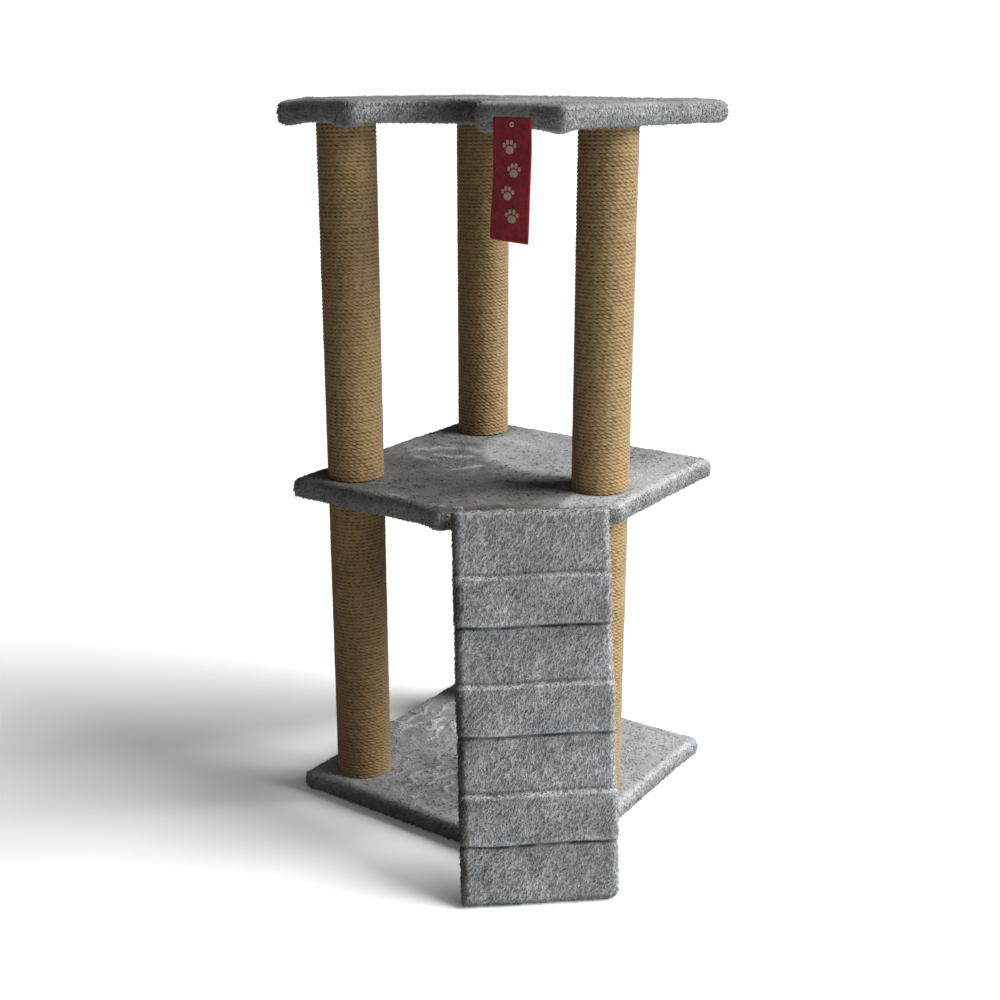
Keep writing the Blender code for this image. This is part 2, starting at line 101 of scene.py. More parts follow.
def shown(name, data):
    """An object for a lamp, a camera or a mesh, linked to the scene."""
    made = bpy.data.objects.new(name, data)
    bpy.context.scene.collection.objects.link(made)
    return made


def make_camera():
    """The viewpoint: right of the front corner, a little above the top board, looking slightly down."""
    turn, pitch, roll = (math.radians(angle) for angle in VIEW_TURNS)
    ahead = Vector((-math.sin(turn) * math.cos(pitch), math.cos(turn) * math.cos(pitch), -math.sin(pitch)))
    level = Vector((math.cos(turn), math.sin(turn), 0.0))
    upright = level.cross(ahead)
    right = level * math.cos(roll) + upright * math.sin(roll)
    up = right.cross(ahead)
    data = bpy.data.cameras.new("camera")
    data.lens, data.sensor_width = LENS, SENSOR
    data.shift_x, data.shift_y = FRAMING
    made = shown("camera", data)
    basis = Matrix((right, up, -ahead)).transposed().to_4x4()
    made.matrix_world = Matrix.Translation(VIEW_PLACE) @ basis
    bpy.context.scene.camera = made


# ---- meshes ----
def new_piece(name, points, triangles, material, values=None, maps=None):
    """A smooth triangle mesh at the origin; values are numbers or vectors per point, maps UVs per corner."""
    mesh = bpy.data.meshes.new(name)
    mesh.vertices.add(len(points))
    mesh.vertices.foreach_set("co", np.ascontiguousarray(points, np.float32).ravel())
    mesh.loops.add(triangles.size)
    mesh.loops.foreach_set("vertex_index", np.ascontiguousarray(triangles, np.int32).ravel())
    mesh.polygons.add(len(triangles))
    mesh.polygons.foreach_set("loop_start", np.arange(0, triangles.size, 3, dtype=np.int32))
    mesh.update(calc_edges=True)
    mesh.polygons.foreach_set("use_smooth", np.ones(len(triangles), bool))
    for key, amounts in (values or {}).items():
        kind, slot = ("FLOAT_VECTOR", "vector") if np.ndim(amounts) == 2 else ("FLOAT", "value")
        layer = mesh.attributes.new(key, kind, "POINT")
        layer.data.foreach_set(slot, np.ascontiguousarray(amounts, np.float32).ravel())
    for key, places in (maps or {}).items():
        layer = mesh.uv_layers.new(name=key)
        layer.uv.foreach_set("vector", np.ascontiguousarray(places, np.float32).ravel())
    mesh.materials.append(material)
    return shown(name, mesh)


def quads_to_triangles(quads):
    return np.concatenate([quads[:, [0, 1, 2]], quads[:, [0, 2, 3]]])


def welded(points, triangles, corner_maps=()):
    """Points at the same place made one; triangles that lose their area go, with their corners' maps."""
    _, first, index = np.unique(np.round(points, 7), axis=0, return_index=True, return_inverse=True)
    merged = index.reshape(-1)[triangles]
    a, b, c = merged.T
    kept = (a != b) & (b != c) & (c != a)
    return points[first], merged[kept], [places[kept] for places in corner_maps], index.reshape(-1)


def point_normals(points, triangles):
    """Each point's normal: the sum of its triangles' normals, weighted by area, made one long."""
    a, b, c = (points[triangles[:, k]] for k in range(3))
    facing = np.cross(b - a, c - a)
    total = np.zeros_like(points)
    for k in range(3):
        for axis in range(3):
            total[:, axis] += np.bincount(triangles[:, k], facing[:, axis], len(points))
    return unit(total)


def unit(vectors):
    return vectors / np.maximum(np.linalg.norm(vectors, axis=-1, keepdims=True), 1e-12)


def ridge(x, middle, width):
    """A soft hump across x: exp(-((x - middle) / width)^2)."""
    return np.exp(-(((x - middle) / width) ** 2))


def smooth_step(low, high, x):
    """0 below low, 1 above high, and 3t^2 - 2t^3 between."""
    t = np.clip((x - low) / (high - low), 0.0, 1.0)
    return t * t * (3.0 - 2.0 * t)


KNOT_KINDS = 512  # random values that the lattices draw on
FAR = 1000.0  # cells from the lattice's edge to the model, so every cell number is positive


def scrambled(cell, shuffle):
    """A lattice cell's number, from its three whole coordinates."""
    x, y, z = (cell[:, axis] % KNOT_KINDS for axis in range(3))
    return shuffle[(shuffle[(shuffle[x] + y) % KNOT_KINDS] + z) % KNOT_KINDS]


def soft_noise(points, size, seed):
    """Value noise, -1 to 1, with bumps about size across: random numbers on a lattice, blended smoothly."""
    rng = np.random.default_rng(seed)
    shuffle = rng.permutation(KNOT_KINDS)
    level = rng.uniform(-1.0, 1.0, KNOT_KINDS)
    place = np.asarray(points, float) / size + FAR
    cell = np.floor(place).astype(np.int64)
    part = place - cell
    part = part * part * (3.0 - 2.0 * part)
    total = np.zeros(len(place))
    for corner in np.ndindex(2, 2, 2):
        value = level[scrambled(cell + corner, shuffle)]
        weight = np.ones(len(place))
        for axis in range(3):
            weight *= part[:, axis] if corner[axis] else 1.0 - part[:, axis]
        total += value * weight
    return total


def nearest_knot(points, size, seed):
    """For each point the nearest knot and its number; knots are size apart, each jittered in its cell."""
    rng = np.random.default_rng(seed)
    shuffle = rng.permutation(KNOT_KINDS)
    jitter = rng.random((KNOT_KINDS, 3))
    place = np.asarray(points, float) / size + FAR
    cell = np.floor(place).astype(np.int64)
    best = np.full(len(place), np.inf)
    knot = np.zeros_like(place)
    number = np.zeros(len(place), np.int64)
    for step in np.ndindex(3, 3, 3):
        there = cell + np.array(step) - 1
        key = scrambled(there, shuffle)
        at = there + jitter[key]
        away = ((at - place) ** 2).sum(1)
        nearer = away < best
        best[nearer], knot[nearer], number[nearer] = away[nearer], at[nearer], key[nearer]
    return (knot - FAR) * size, number


def bump_at(points, centre, reach):
    """A smooth hill, 1 at its centre and 0 past its reach."""
    away = np.linalg.norm((points - np.asarray(centre)) / np.asarray(reach), axis=1)
    return 1.0 - smooth_step(0.0, 1.0, away)


# ---- plans of the covers ----
def straight(start, end, steps):
    share = np.linspace(0.0, 1.0, steps, endpoint=False)[:, None]
    return (1.0 - share) * np.asarray(start) + share * np.asarray(end)


def arc(centre, radius, start, end, steps):
    angle = np.linspace(start, end, steps, endpoint=False)
    return np.column_stack([centre[0] + radius * np.cos(angle), centre[1] + radius * np.sin(angle)])


def inset_corners(corners, inset):
    """Each side n.x = c of a counter-clockwise outline moves to n.x = c + inset; sides cross at corners."""
    along = np.roll(corners, -1, axis=0) - corners
    normal = unit(np.column_stack([-along[:, 1], along[:, 0]]))
    reach = (normal * corners).sum(1) + inset
    last, last_reach = np.roll(normal, 1, axis=0), np.roll(reach, 1)
    scale = normal[:, 0] * last[:, 1] - normal[:, 1] * last[:, 0]
    x = (reach * last[:, 1] - last_reach * normal[:, 1]) / scale
    y = (normal[:, 0] * last_reach - last[:, 0] * reach) / scale
    return np.column_stack([x, y])


def plan(corners, radii, inset, spacing, notch=None):
    """A rounded outline moved in by inset, with as many points whatever the inset, so rows can be joined."""
    moved = inset_corners(corners, inset)
    arcs, starts, ends = [], [], []
    for index, corner in enumerate(moved):
        step_in = corner - moved[index - 1]
        step_out = moved[(index + 1) % len(moved)] - corner
        into = math.atan2(step_in[1], step_in[0])
        turn = (math.atan2(step_out[1], step_out[0]) - into) % (2 * math.pi)
        radius = max(radii[index] - inset, LEAST_R)
        back = radius * math.tan(turn / 2)
        start = corner - back * unit(step_in)
        centre = start + radius * np.array([-math.sin(into), math.cos(into)])
        steps = max(4, round(radii[index] * turn / spacing * 1.4))
        arcs.append(arc(centre, radius, into - math.pi / 2, into - math.pi / 2 + turn, steps))
        starts.append(start)
        ends.append(corner + back * unit(step_out))
    rows = []
    for index in range(len(moved)):
        after = (index + 1) % len(moved)
        rows.append(arcs[index])
        if notch and index == 0:
            rows.append(notch_path(ends[index], starts[after], notch, inset, spacing))
        else:
            steps = round(np.linalg.norm(corners[after] - corners[index]) / spacing)
            rows.append(straight(ends[index], starts[after], steps))
    return np.concatenate(rows)


def notch_path(start, end, notch, inset, spacing):
    """The edge from start to end with a half-round bay in it and rounded corners at the bay's mouth."""
    radius, mouth_r, edge = notch
    fillet = max(mouth_r - inset, LEAST_R)
    reach, lift = radius + inset + fillet, inset + fillet
    side = math.sqrt(reach**2 - lift**2)
    dip = math.asin(lift / reach)
    steps = round((HALF_X - radius) / spacing)
    mouth_steps = round(mouth_r * 1.5 / spacing * 1.3)
    bay_steps = round(radius * math.pi / spacing)
    return np.concatenate(
        [
            straight(start, (-side, edge + inset), steps),
            arc((-side, edge + lift), fillet, -math.pi / 2, -dip, mouth_steps),
            arc((0.0, edge), radius + inset, math.pi - dip, dip, bay_steps),
            arc((side, edge + lift), fillet, math.pi + dip, 1.5 * math.pi, mouth_steps),
            straight((side, edge + inset), end, steps),
        ]
    )


def inside(points, loop):
    """Which points a closed loop goes round: an odd number of its sides lie to their right."""
    x, y = points[:, :1], points[:, 1:]
    x0, y0 = loop.T
    x1, y1 = np.roll(loop, -1, axis=0).T
    crosses = (y0 > y) != (y1 > y)
    at = x0 + (y - y0) * (x1 - x0) / np.where(y1 == y0, 1e-12, y1 - y0)
    return (crosses & (at > x)).sum(1) % 2 == 1


def fill(loop, lattice):
    """Triangles between a loop and the lattice points in it; indices count the loop first."""
    points = [Vector(p) for p in np.concatenate([loop, lattice]) * 1000.0]
    found = delaunay_2d_cdt(points, [], [list(range(len(loop)))], 1, 1e-6)
    came_from = np.array([sources[0] for sources in found[3]])
    triangles = came_from[np.array(found[2])]
    a, b, c = (np.concatenate([loop, lattice])[triangles[:, k]] for k in range(3))
    turned = (b - a)[:, 0] * (c - a)[:, 1] - (b - a)[:, 1] * (c - a)[:, 0] < 0
    triangles[turned] = triangles[turned][:, ::-1]
    return triangles


# ---- plush covers ----
BASE_LOW, BASE_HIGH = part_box("base_plush_cover")
HALF_X, HALF_Y = BASE_HIGH.x, BASE_HIGH.y
DECK_T = BASE_HIGH.z - BASE_LOW.z


def rim_section(thick, edge_r, hem_inner, top_inset, bulge):
    """(inset, height, outer) rows from the top's middle over the rim, under the hem and back inside.

    The rim is two quarter ellipses and a side that bows out by bulge; the inside is the board's pocket.
    """
    low, high = PILE_ROOM, thick - PILE_ROOM
    quarter = np.linspace(0.0, math.pi / 2, 7)
    inwards, downwards = edge_r * (1 - np.sin(quarter)), edge_r * (1 - np.cos(quarter))
    over = np.column_stack([PILE_ROOM + inwards, high - downwards])
    side_share = np.linspace(0.0, 1.0, 6)[1:-1]
    side_height = high - edge_r + (low - high + 2 * edge_r) * side_share
    side = np.column_stack([PILE_ROOM - bulge * np.sin(math.pi * side_share), side_height])
    under = over[::-1] * [1.0, -1.0] + [0.0, thick]
    top = np.column_stack([np.linspace(top_inset, edge_r + 2 * PILE_ROOM, 4), np.full(4, high)])
    hem = np.column_stack([np.linspace(edge_r + 2 * PILE_ROOM, hem_inner - 0.001, 4), np.full(4, low)])
    outer = np.concatenate([top, over, side, under, hem, [[hem_inner, low + 0.001]]])
    ceiling = thick - COVER_T
    inner = [[hem_inner, COVER_T], [COVER_T, COVER_T], [COVER_T, ceiling], [top_inset, ceiling]]
    return np.concatenate([outer, inner]), np.arange(len(outer) + len(inner)) < len(outer)


def cover_shell(path_at, section, lattice, spacing):
    """A closed plush shell: rim section carried round its plan, top filled on a lattice, pocket behind.

    Returns points as (across, along, height), triangles, and which points are on the outside.
    """
    rows, outer = section
    loops = [path_at(inset) for inset, _ in rows]
    count = len(loops[0])
    heights = [np.full(count, height) for _, height in rows]
    band = np.stack([np.column_stack(pair) for pair in zip(loops, heights)])
    ring = np.arange(count)
    after = (ring + 1) % count
    v = np.arange(len(rows) - 1)[:, None] * count
    quads = np.stack([v + ring, v + count + ring, v + count + after, v + after], axis=-1).reshape(-1, 4)
    middle = lattice[inside(lattice, path_at(rows[0, 0] + spacing * 0.55))]
    top = fill(loops[0], middle)
    top = np.where(top < count, top, top + band.shape[0] * count - count)
    ceiling = fill(loops[-1], np.zeros((0, 2)))[:, ::-1] + (len(rows) - 1) * count
    flat = np.column_stack([middle, np.full(len(middle), rows[0, 1])])
    points = np.concatenate([band.reshape(-1, 3), flat])
    triangles = np.concatenate([quads_to_triangles(quads), top, ceiling])
    outside = np.concatenate([np.repeat(outer, count), np.ones(len(middle), bool)])
    return points, triangles, outside


CLUMP_REACH = 0.62  # of a clump's spacing, from its knot to where its pull ends
CLUMP_WAY, TUFT_WAY = 0.42, 0.12  # how far a clump, and a tuft in it, strays from the nap's way
CLUMP_TILT, TUFT_TILT = 0.16, 0.08  # and from its lean
EDGE_LENGTH, KNOT_GAIN = 0.72, 0.42  # a tuft's length at its clump's edge, and what the knot adds to it
LENGTHS, WIDTHS = (0.8, 1.2), (0.75, 1.3)
RING = ((math.pi / 2, 0.55), (math.pi * 7 / 6, 1.0), (math.pi * 11 / 6, 1.0))  # angle and flattening
ROOT_DEPTH = 0.0006
TIP_DROOP = 0.06
TIP_DRAW = 0.55
TUFT_LAYOUT = np.array(  # a spike's three sides and its closed root in a cell of the bake map
    [
        [[0.08, 0.2], [0.36, 0.2], [0.22, 0.9]],
        [[0.36, 0.2], [0.64, 0.2], [0.5, 0.9]],
        [[0.64, 0.2], [0.92, 0.2], [0.78, 0.9]],
        [[0.1, 0.1], [0.5, 0.02], [0.9, 0.1]],
    ]
)


def pile_tufts(points, triangles, usable, count, nap, length, lean, thickness, clump, seed):
    """Pile: slim three-sided spikes rooted in a surface, closed at the root.

    Roots fall at random with a density of usable per area.  A spike leans from the surface's normal towards
    the nap by the angle lean and is length long; its ring is thickness across.  Spikes near the same knot of
    a lattice clump apart share a lean and a way, and draw together at their tips.  Returns points, triangles,
    each point's tone from root 0 to tip 1, a map with one small cell for each spike, the roots, and how far
    inside its clump each spike stands, 1 at the knot and 0 at the edge.
    """
    rng = np.random.default_rng(seed)
    a, b, c = (points[triangles[:, k]] for k in range(3))
    area = np.linalg.norm(np.cross(b - a, c - a), axis=1) / 2
    share = np.cumsum(area * usable)
    picked = np.searchsorted(share, (np.arange(count) + rng.random(count)) / count * share[-1])
    picked = np.minimum(picked, len(share) - 1)
    u, w = rng.random((2, count))
    folded = u + w > 1
    u, w = np.where(folded, 1 - u, u), np.where(folded, 1 - w, w)
    normals = point_normals(points, triangles)
    corners = triangles[picked]
    weights = np.column_stack([1 - u - w, u, w])[:, :, None]
    root = (points[corners] * weights).sum(1)
    normal = unit((normals[corners] * weights).sum(1))
    knot, number = nearest_knot(root, clump, seed + 1)
    drawn = knot - root
    drawn = drawn - normal * (drawn * normal).sum(1, keepdims=True)
    within = np.clip(1.0 - np.linalg.norm(drawn, axis=1) / (CLUMP_REACH * clump), 0.0, 1.0)
    own = rng.normal(0.0, 1.0, (KNOT_KINDS, 4))[number]
    way = nap(root, normal) + CLUMP_WAY * own[:, :3] + rng.normal(0.0, TUFT_WAY, (count, 3))
    way = unit(way - normal * (way * normal).sum(1, keepdims=True))
    tilt = (lean(root, normal) + CLUMP_TILT * own[:, 3] + rng.normal(0.0, TUFT_TILT, count))[:, None]
    stand = unit(normal * np.cos(tilt) + way * np.sin(tilt))
    long = length(root, normal) * rng.uniform(*LENGTHS, count) * (EDGE_LENGTH + KNOT_GAIN * within)
    long, wide = long[:, None], (thickness * rng.uniform(*WIDTHS, count))[:, None]
    sideways = unit(np.cross(stand, normal) + rng.normal(0.0, 0.05, stand.shape))
    flat = np.cross(sideways, stand)
    low = root - normal * ROOT_DEPTH
    ring = [
        low + wide * (sideways * math.cos(angle) + flat * math.sin(angle) * squeeze)
        for angle, squeeze in RING
    ]
    tip = low + stand * long - normal * long * TIP_DROOP + TIP_DRAW * drawn
    made = np.stack([*ring, tip], axis=1).reshape(-1, 3)
    at = np.arange(count)[:, None] * 4
    shape = np.array([[0, 1, 3], [1, 2, 3], [2, 0, 3], [0, 2, 1]])
    faces = (at[:, :, None] + shape[None]).reshape(-1, 3)
    # Tone runs from 0 at the root ring to 1 at the tip; the finish paints low tone darker, as painted shade deep
    # in the pile.
    tone = np.tile([0.0, 0.0, 0.0, 1.0], count)
    side = math.ceil(math.sqrt(count))
    cell = np.stack([np.arange(count) % side, np.arange(count) // side], axis=-1)[:, None, None]
    places = ((cell + TUFT_LAYOUT[None]) / side).reshape(-1, 2)
    return made, faces, tone, places, root, within


# ---- making a finish ----
def add(tree, kind, inputs=None, **settings):
    """A shader node; inputs are plain values or other nodes' sockets."""
    made = tree.nodes.new("ShaderNode" + kind)
    for key, value in settings.items():
        setattr(made, key, value)
    for key, value in (inputs or {}).items():
        if isinstance(value, bpy.types.NodeSocket):
            tree.links.new(value, made.inputs[key])
        else:
            made.inputs[key].default_value = value
    return made


class Finish:
    """A material in the making: each method adds a node and gives its output."""

    def __init__(self, name, roughness, metallic=0.0, sheen=0.0, sheen_roughness=0.4, specular=0.5):
        self.material = bpy.data.materials.new(name)
        self.material.use_nodes = True
        self.tree = self.material.node_tree
        self.shader = self.tree.nodes["Principled BSDF"]
        self.shader.inputs["Roughness"].default_value = roughness
        self.shader.inputs["Metallic"].default_value = metallic
        self.shader.inputs["Sheen Weight"].default_value = sheen
        self.shader.inputs["Sheen Roughness"].default_value = sheen_roughness
        self.shader.inputs["Specular IOR Level"].default_value = specular

    def add(self, kind, inputs=None, **settings):
        return add(self.tree, kind, inputs, **settings)

    def mixed(self, factor, first, second, blend="MIX"):
        inputs = {0: factor}
        for index, value in ((6, first), (7, second)):
            inputs[index] = value if isinstance(value, bpy.types.NodeSocket) else (*value, 1.0)
        return self.add("Mix", inputs, data_type="RGBA", blend_type=blend).outputs[2]

    def dimmed(self, colour, light):
        """The colour times one number."""
        grey = self.add("CombineColor", {0: light, 1: light, 2: light}).outputs[0]
        return self.mixed(1.0, colour, grey, "MULTIPLY")

    def maths(self, operation, first, second=0.0):
        return self.add("Math", {0: first, 1: second}, operation=operation).outputs[0]

    def times(self, first, second):
        return self.maths("MULTIPLY", first, second)

    def plus(self, first, second):
        return self.maths("ADD", first, second)

    def minus(self, first, second):
        return self.maths("SUBTRACT", first, second)

    def remapped(self, value, low, high, to_low, to_high):
        limits = {"From Min": low, "From Max": high, "To Min": to_low, "To Max": to_high}
        return self.add("MapRange", {"Value": value, **limits}).outputs[0]

    def spread(self, value, to_low, to_high):
        """A noise, which runs mostly from 0.3 to 0.7, spread over another range."""
        return self.remapped(value, 0.3, 0.7, to_low, to_high)

    def read(self, name, output="Fac"):
        return self.add("Attribute", attribute_name=name, attribute_type="GEOMETRY").outputs[output]

    def here(self, scale=(1.0, 1.0, 1.0), turn=(0.0, 0.0, 0.0)):
        """Object coordinates, stretched and turned."""
        place = self.add("TexCoord").outputs["Object"]
        return self.add("Mapping", {"Vector": place, "Scale": scale, "Rotation": turn}).outputs[0]

    def noise(self, place, scale, detail=2.0, roughness=0.5, distortion=0.0):
        inputs = {"Vector": place, "Scale": scale, "Detail": detail, "Roughness": roughness}
        return self.add("TexNoise", {**inputs, "Distortion": distortion}).outputs[0]

    def wire(self, colour, roughness, height=None, depth=0.001, strength=1.0):
        """Joins the colour, roughness and bump to the shader and hands over the material."""
        self.tree.links.new(colour, self.shader.inputs["Base Color"])
        self.tree.links.new(roughness, self.shader.inputs["Roughness"])
        if height is not None:
            bump = self.add("Bump", {"Height": height, "Distance": depth, "Strength": strength})
            self.tree.links.new(bump.outputs[0], self.shader.inputs["Normal"])
        return self.material


# ---- finishes ----
WARM_SHADE = (1.06, 0.98, 0.90)  # painted warm shade: what the dark of the pile is multiplied by


def plush_finish(name, root, tip):
    """Short curling pile: painted shade between clumps and at the roots, pale tips, nap and painted light in
    patches.
    """
    look = Finish(name, 0.88, sheen=0.25, sheen_roughness=0.5, specular=0.12)
    lie, patch, ruffle = look.read("lie", "Vector"), look.read("patch"), look.read("ruffle")
    curl = look.noise(lie, 262.0, 2.5, 0.6, 0.75)
    # Painted shade: the pile is darker towards its roots.
    colour = look.mixed(look.maths("POWER", look.read("tone"), 0.8), root, tip)
    ruffled = look.times(look.remapped(patch, 0.15, 0.50, 0.25, 1.0), ruffle)
    # Painted shade in the gaps between the curls, deeper where the pile is ruffled.
    gap_shade = look.minus(look.remapped(curl, 0.36, 0.60, 0.56, 1.14), 1.0)
    light = look.times(look.remapped(patch, 0.0, 1.0, 0.12, 1.82), look.plus(1.0, look.times(gap_shade, ruffled)))
    colour = look.dimmed(colour, light)
    # Painted shade is tinted warm where the pile is painted darkest.
    warm = look.remapped(light, 0.2, 0.9, 1.0, 0.0)
    colour = look.mixed(warm, colour, look.mixed(1.0, colour, WARM_SHADE, "MULTIPLY"))
    fine = look.noise(lie, 1100.0)
    height = look.plus(look.times(curl, ruffle), look.times(fine, 0.18))
    return look.wire(colour, look.spread(fine, 0.8, 0.95), height, 0.0018, 0.7)


def rope_finish():
    """Twisted sisal: golden fibres along each strand, painted shade in the grooves, with odd dark and pale turns.
    """
    look = Finish("sisal_rope", 0.7, sheen=0.12, sheen_roughness=0.5, specular=0.25)
    run = look.add("UVMap", uv_map="run").outputs[0]
    twisted = look.add("Mapping", {"Vector": run, "Rotation": (0.0, 0.0, 0.42)}).outputs[0]
    along_fibres = look.add("Mapping", {"Vector": twisted, "Scale": (160.0, 2600.0, 1.0)}).outputs[0]
    fibre = look.noise(along_fibres, 1.0, 3.0, 0.6)
    paler = look.remapped(fibre, 0.32, 0.68, 0.0, 1.0)
    colour = look.mixed(paler, (0.15, 0.080, 0.028), (0.52, 0.362, 0.168))
    stain = look.noise(look.here((1.0, 1.0, 7.0)), 16.0, 3.0)
    colour = look.mixed(look.remapped(stain, 0.4, 0.75, 0.0, 0.35), colour, (0.25, 0.148, 0.058))
    # Painted shade: darker where dip is high, in the grooves between turns and strands.
    colour = look.dimmed(colour, look.remapped(look.read("dip"), 0.03, 0.75, 1.0, 0.22))
    return look.wire(colour, look.spread(fibre, 0.6, 0.85), fibre, 0.0004, 0.7)


def fibre_finish():
    """Loose sisal fibres, browner at the root and straw at the tip."""
    look = Finish("sisal_fibre", 0.6, specular=0.3)
    straw = look.mixed(look.noise(look.here(), 180.0), (0.30, 0.21, 0.10), (0.55, 0.43, 0.25))
    colour = look.mixed(look.remapped(look.read("tone"), 0.0, 1.0, 0.3, 1.0), (0.20, 0.13, 0.06), straw)
    return look.wire(colour, look.spread(look.noise(look.here(), 900.0), 0.5, 0.7))


PRINT_PITCH = 0.030  # from one paw print to the next, down the label
PRINTS_FROM, PRINTS_TO = 0.024, 0.144
PRINT_X, PRINT_STEP = 0.026, 0.008  # the first print's middle across the label, and each second one's shift
PAW = [  # each pad's middle and half widths, from the print's own middle line and top
    (0.0, 0.0175, 0.0062, 0.0052),
    (-0.0082, 0.0118, 0.0023, 0.0031),
    (-0.0030, 0.0078, 0.0024, 0.0034),
    (0.0030, 0.0078, 0.0024, 0.0034),
    (0.0082, 0.0118, 0.0023, 0.0031),
]
SELVEDGE = 0.0575  # where the label's brighter folded edge starts


def paw_prints(look, across, down):
    """1 on the prints: where a pad's ((x - a) / p)^2 + ((y - b) / q)^2 is under 1."""
    row = look.maths("DIVIDE", look.minus(down, PRINTS_FROM), PRINT_PITCH)
    within = look.times(look.maths("FRACT", row), PRINT_PITCH)
    odd = look.maths("MODULO", look.maths("FLOOR", row), 2.0)
    sideways = look.minus(across, look.plus(PRINT_X, look.times(odd, PRINT_STEP)))
    printed = 0.0
    for x, y, half_x, half_y in PAW:
        u = look.maths("DIVIDE", look.minus(sideways, x), half_x)
        v = look.maths("DIVIDE", look.minus(within, y), half_y)
        away = look.plus(look.times(u, u), look.times(v, v))
        printed = look.maths("MAXIMUM", printed, look.remapped(away, 0.9, 1.1, 1.0, 0.0))
    kept = look.times(look.maths("GREATER_THAN", down, PRINTS_FROM), look.maths("LESS_THAN", down, PRINTS_TO))
    return look.times(printed, kept)


def label_finish():
    """Dark red woven cloth with a column of pale paw prints, one to each quarter of its length."""
    look = Finish("tag_cloth", 0.7, sheen=0.25, sheen_roughness=0.4, specular=0.3)
    place = look.add("UVMap", uv_map="cloth").outputs[0]
    split = look.add("SeparateXYZ", {0: place})
    across, down = split.outputs[0], split.outputs[1]
    warp = look.add("TexWave", {"Vector": place, "Scale": 520.0, "Distortion": 0.6, "Detail Scale": 40.0})
    weft = look.add("TexWave", {"Vector": place, "Scale": 620.0, "Distortion": 0.6}, bands_direction="Y")
    weave = look.times(warp.outputs["Fac"], weft.outputs["Fac"])
    cloth = look.mixed(weave, (0.26, 0.020, 0.028), (0.50, 0.042, 0.055))
    cloth = look.mixed(look.maths("GREATER_THAN", across, SELVEDGE), cloth, (0.70, 0.03, 0.06))
    cloth = look.mixed(look.times(paw_prints(look, across, down), 0.85), cloth, (0.66, 0.54, 0.42))
    worn = look.remapped(look.noise(look.here(), 140.0, 3.0), 0.35, 0.65, 0.75, 1.15)
    return look.wire(look.dimmed(cloth, worn), look.remapped(weave, 0.0, 1.0, 0.8, 0.62), weave, 0.00025, 0.6)


def board_finish():
    """Raw chipboard: pressed flakes of pale and brown wood, rough between them."""
    look = Finish("chipboard", 0.85, specular=0.2)
    place = look.here((1.0, 1.0, 1.6))
    flakes = look.add("TexVoronoi", {"Vector": place, "Scale": 260.0})
    value = look.add("SeparateColor", {0: flakes.outputs["Color"]}).outputs[0]
    dust = look.noise(place, 900.0, 3.0)
    colour = look.mixed(value, (0.36, 0.25, 0.14), (0.66, 0.51, 0.33))
    colour = look.mixed(look.remapped(dust, 0.45, 0.7, 0.0, 0.5), colour, (0.24, 0.15, 0.08))
    height = look.plus(flakes.outputs["Distance"], dust)
    return look.wire(colour, look.spread(dust, 0.75, 0.95), height, 0.0006, 0.6)


def felt_finish():
    """Dark non-woven lining: matted fibres with a pressed dot pattern."""
    look = Finish("lining_felt", 0.9, sheen=0.15, specular=0.1)
    fibres = look.noise(look.here((1.0, 1.0, 4.0)), 700.0, 4.0, 0.65)
    dots = look.add("TexVoronoi", {"Vector": look.here(), "Scale": 330.0, "Randomness": 0.15})
    pressed = look.remapped(dots.outputs["Distance"], 0.2, 0.5, 0.0, 1.0)
    colour = look.mixed(look.spread(fibres, 0.0, 1.0), (0.035, 0.035, 0.038), (0.12, 0.12, 0.125))
    colour = look.mixed(pressed, (0.03, 0.03, 0.032), colour)
    return look.wire(colour, look.spread(fibres, 0.8, 0.98), look.plus(pressed, fibres), 0.0005, 0.6)


def card_finish():
    """Wound brown card: slanting plies and short fibres."""
    look = Finish("card_tube", 0.8, specular=0.2)
    slanting = look.here(turn=(0.35, 0.0, 0.0))
    plies = look.add("TexWave", {"Vector": slanting, "Scale": 14.0, "Distortion": 1.0}, bands_direction="Z")
    fibres = look.noise(look.here((4.0, 4.0, 1.0)), 220.0, 4.0)
    colour = look.mixed(fibres, (0.30, 0.21, 0.13), (0.52, 0.40, 0.27))
    colour = look.mixed(look.times(plies.outputs["Fac"], 0.3), colour, (0.26, 0.18, 0.11))
    return look.wire(colour, look.spread(fibres, 0.7, 0.9), fibres, 0.0003, 0.5)


def plug_finish():
    """Sawn softwood: straight grain with growth rings and saw marks."""
    look = Finish("plug_wood", 0.65, specular=0.3)
    lengthwise = look.here((1.0, 0.25, 0.25))
    grain = look.add("TexWave", {"Vector": lengthwise, "Scale": 60.0, "Distortion": 5.0, "Detail": 3.0})
    pores = look.noise(look.here((1.0, 8.0, 1.0)), 300.0, 3.0)
    colour = look.mixed(grain.outputs["Fac"], (0.50, 0.34, 0.18), (0.70, 0.54, 0.34))
    colour = look.mixed(look.remapped(pores, 0.5, 0.75, 0.0, 0.4), colour, (0.32, 0.20, 0.10))
    return look.wire(colour, look.spread(pores, 0.55, 0.75), pores, 0.0003, 0.4)


def zinc_finish():
    """Bright zinc plate: small spangles, fine scratches and a dull bloom."""
    look = Finish("zinc_steel", 0.35, metallic=1.0)
    spangle = look.add("TexVoronoi", {"Vector": look.here(), "Scale": 700.0}).outputs["Color"]
    value = look.add("SeparateColor", {0: spangle}).outputs[0]
    scratch = look.noise(look.here((1.0, 1.0, 12.0)), 240.0, 3.0)
    colour = look.mixed(value, (0.52, 0.53, 0.55), (0.70, 0.70, 0.71))
    return look.wire(colour, look.spread(scratch, 0.26, 0.5), scratch, 0.0001, 0.3)


def eyelet_finish():
    """Pale plated eyelet, a little dulled."""
    look = Finish("eyelet_metal", 0.35, metallic=1.0)
    bloom = look.noise(look.here(), 900.0, 3.0)
    colour = look.mixed(bloom, (0.62, 0.57, 0.50), (0.82, 0.78, 0.72))
    return look.wire(colour, look.spread(bloom, 0.28, 0.48), bloom, 0.0001, 0.3)


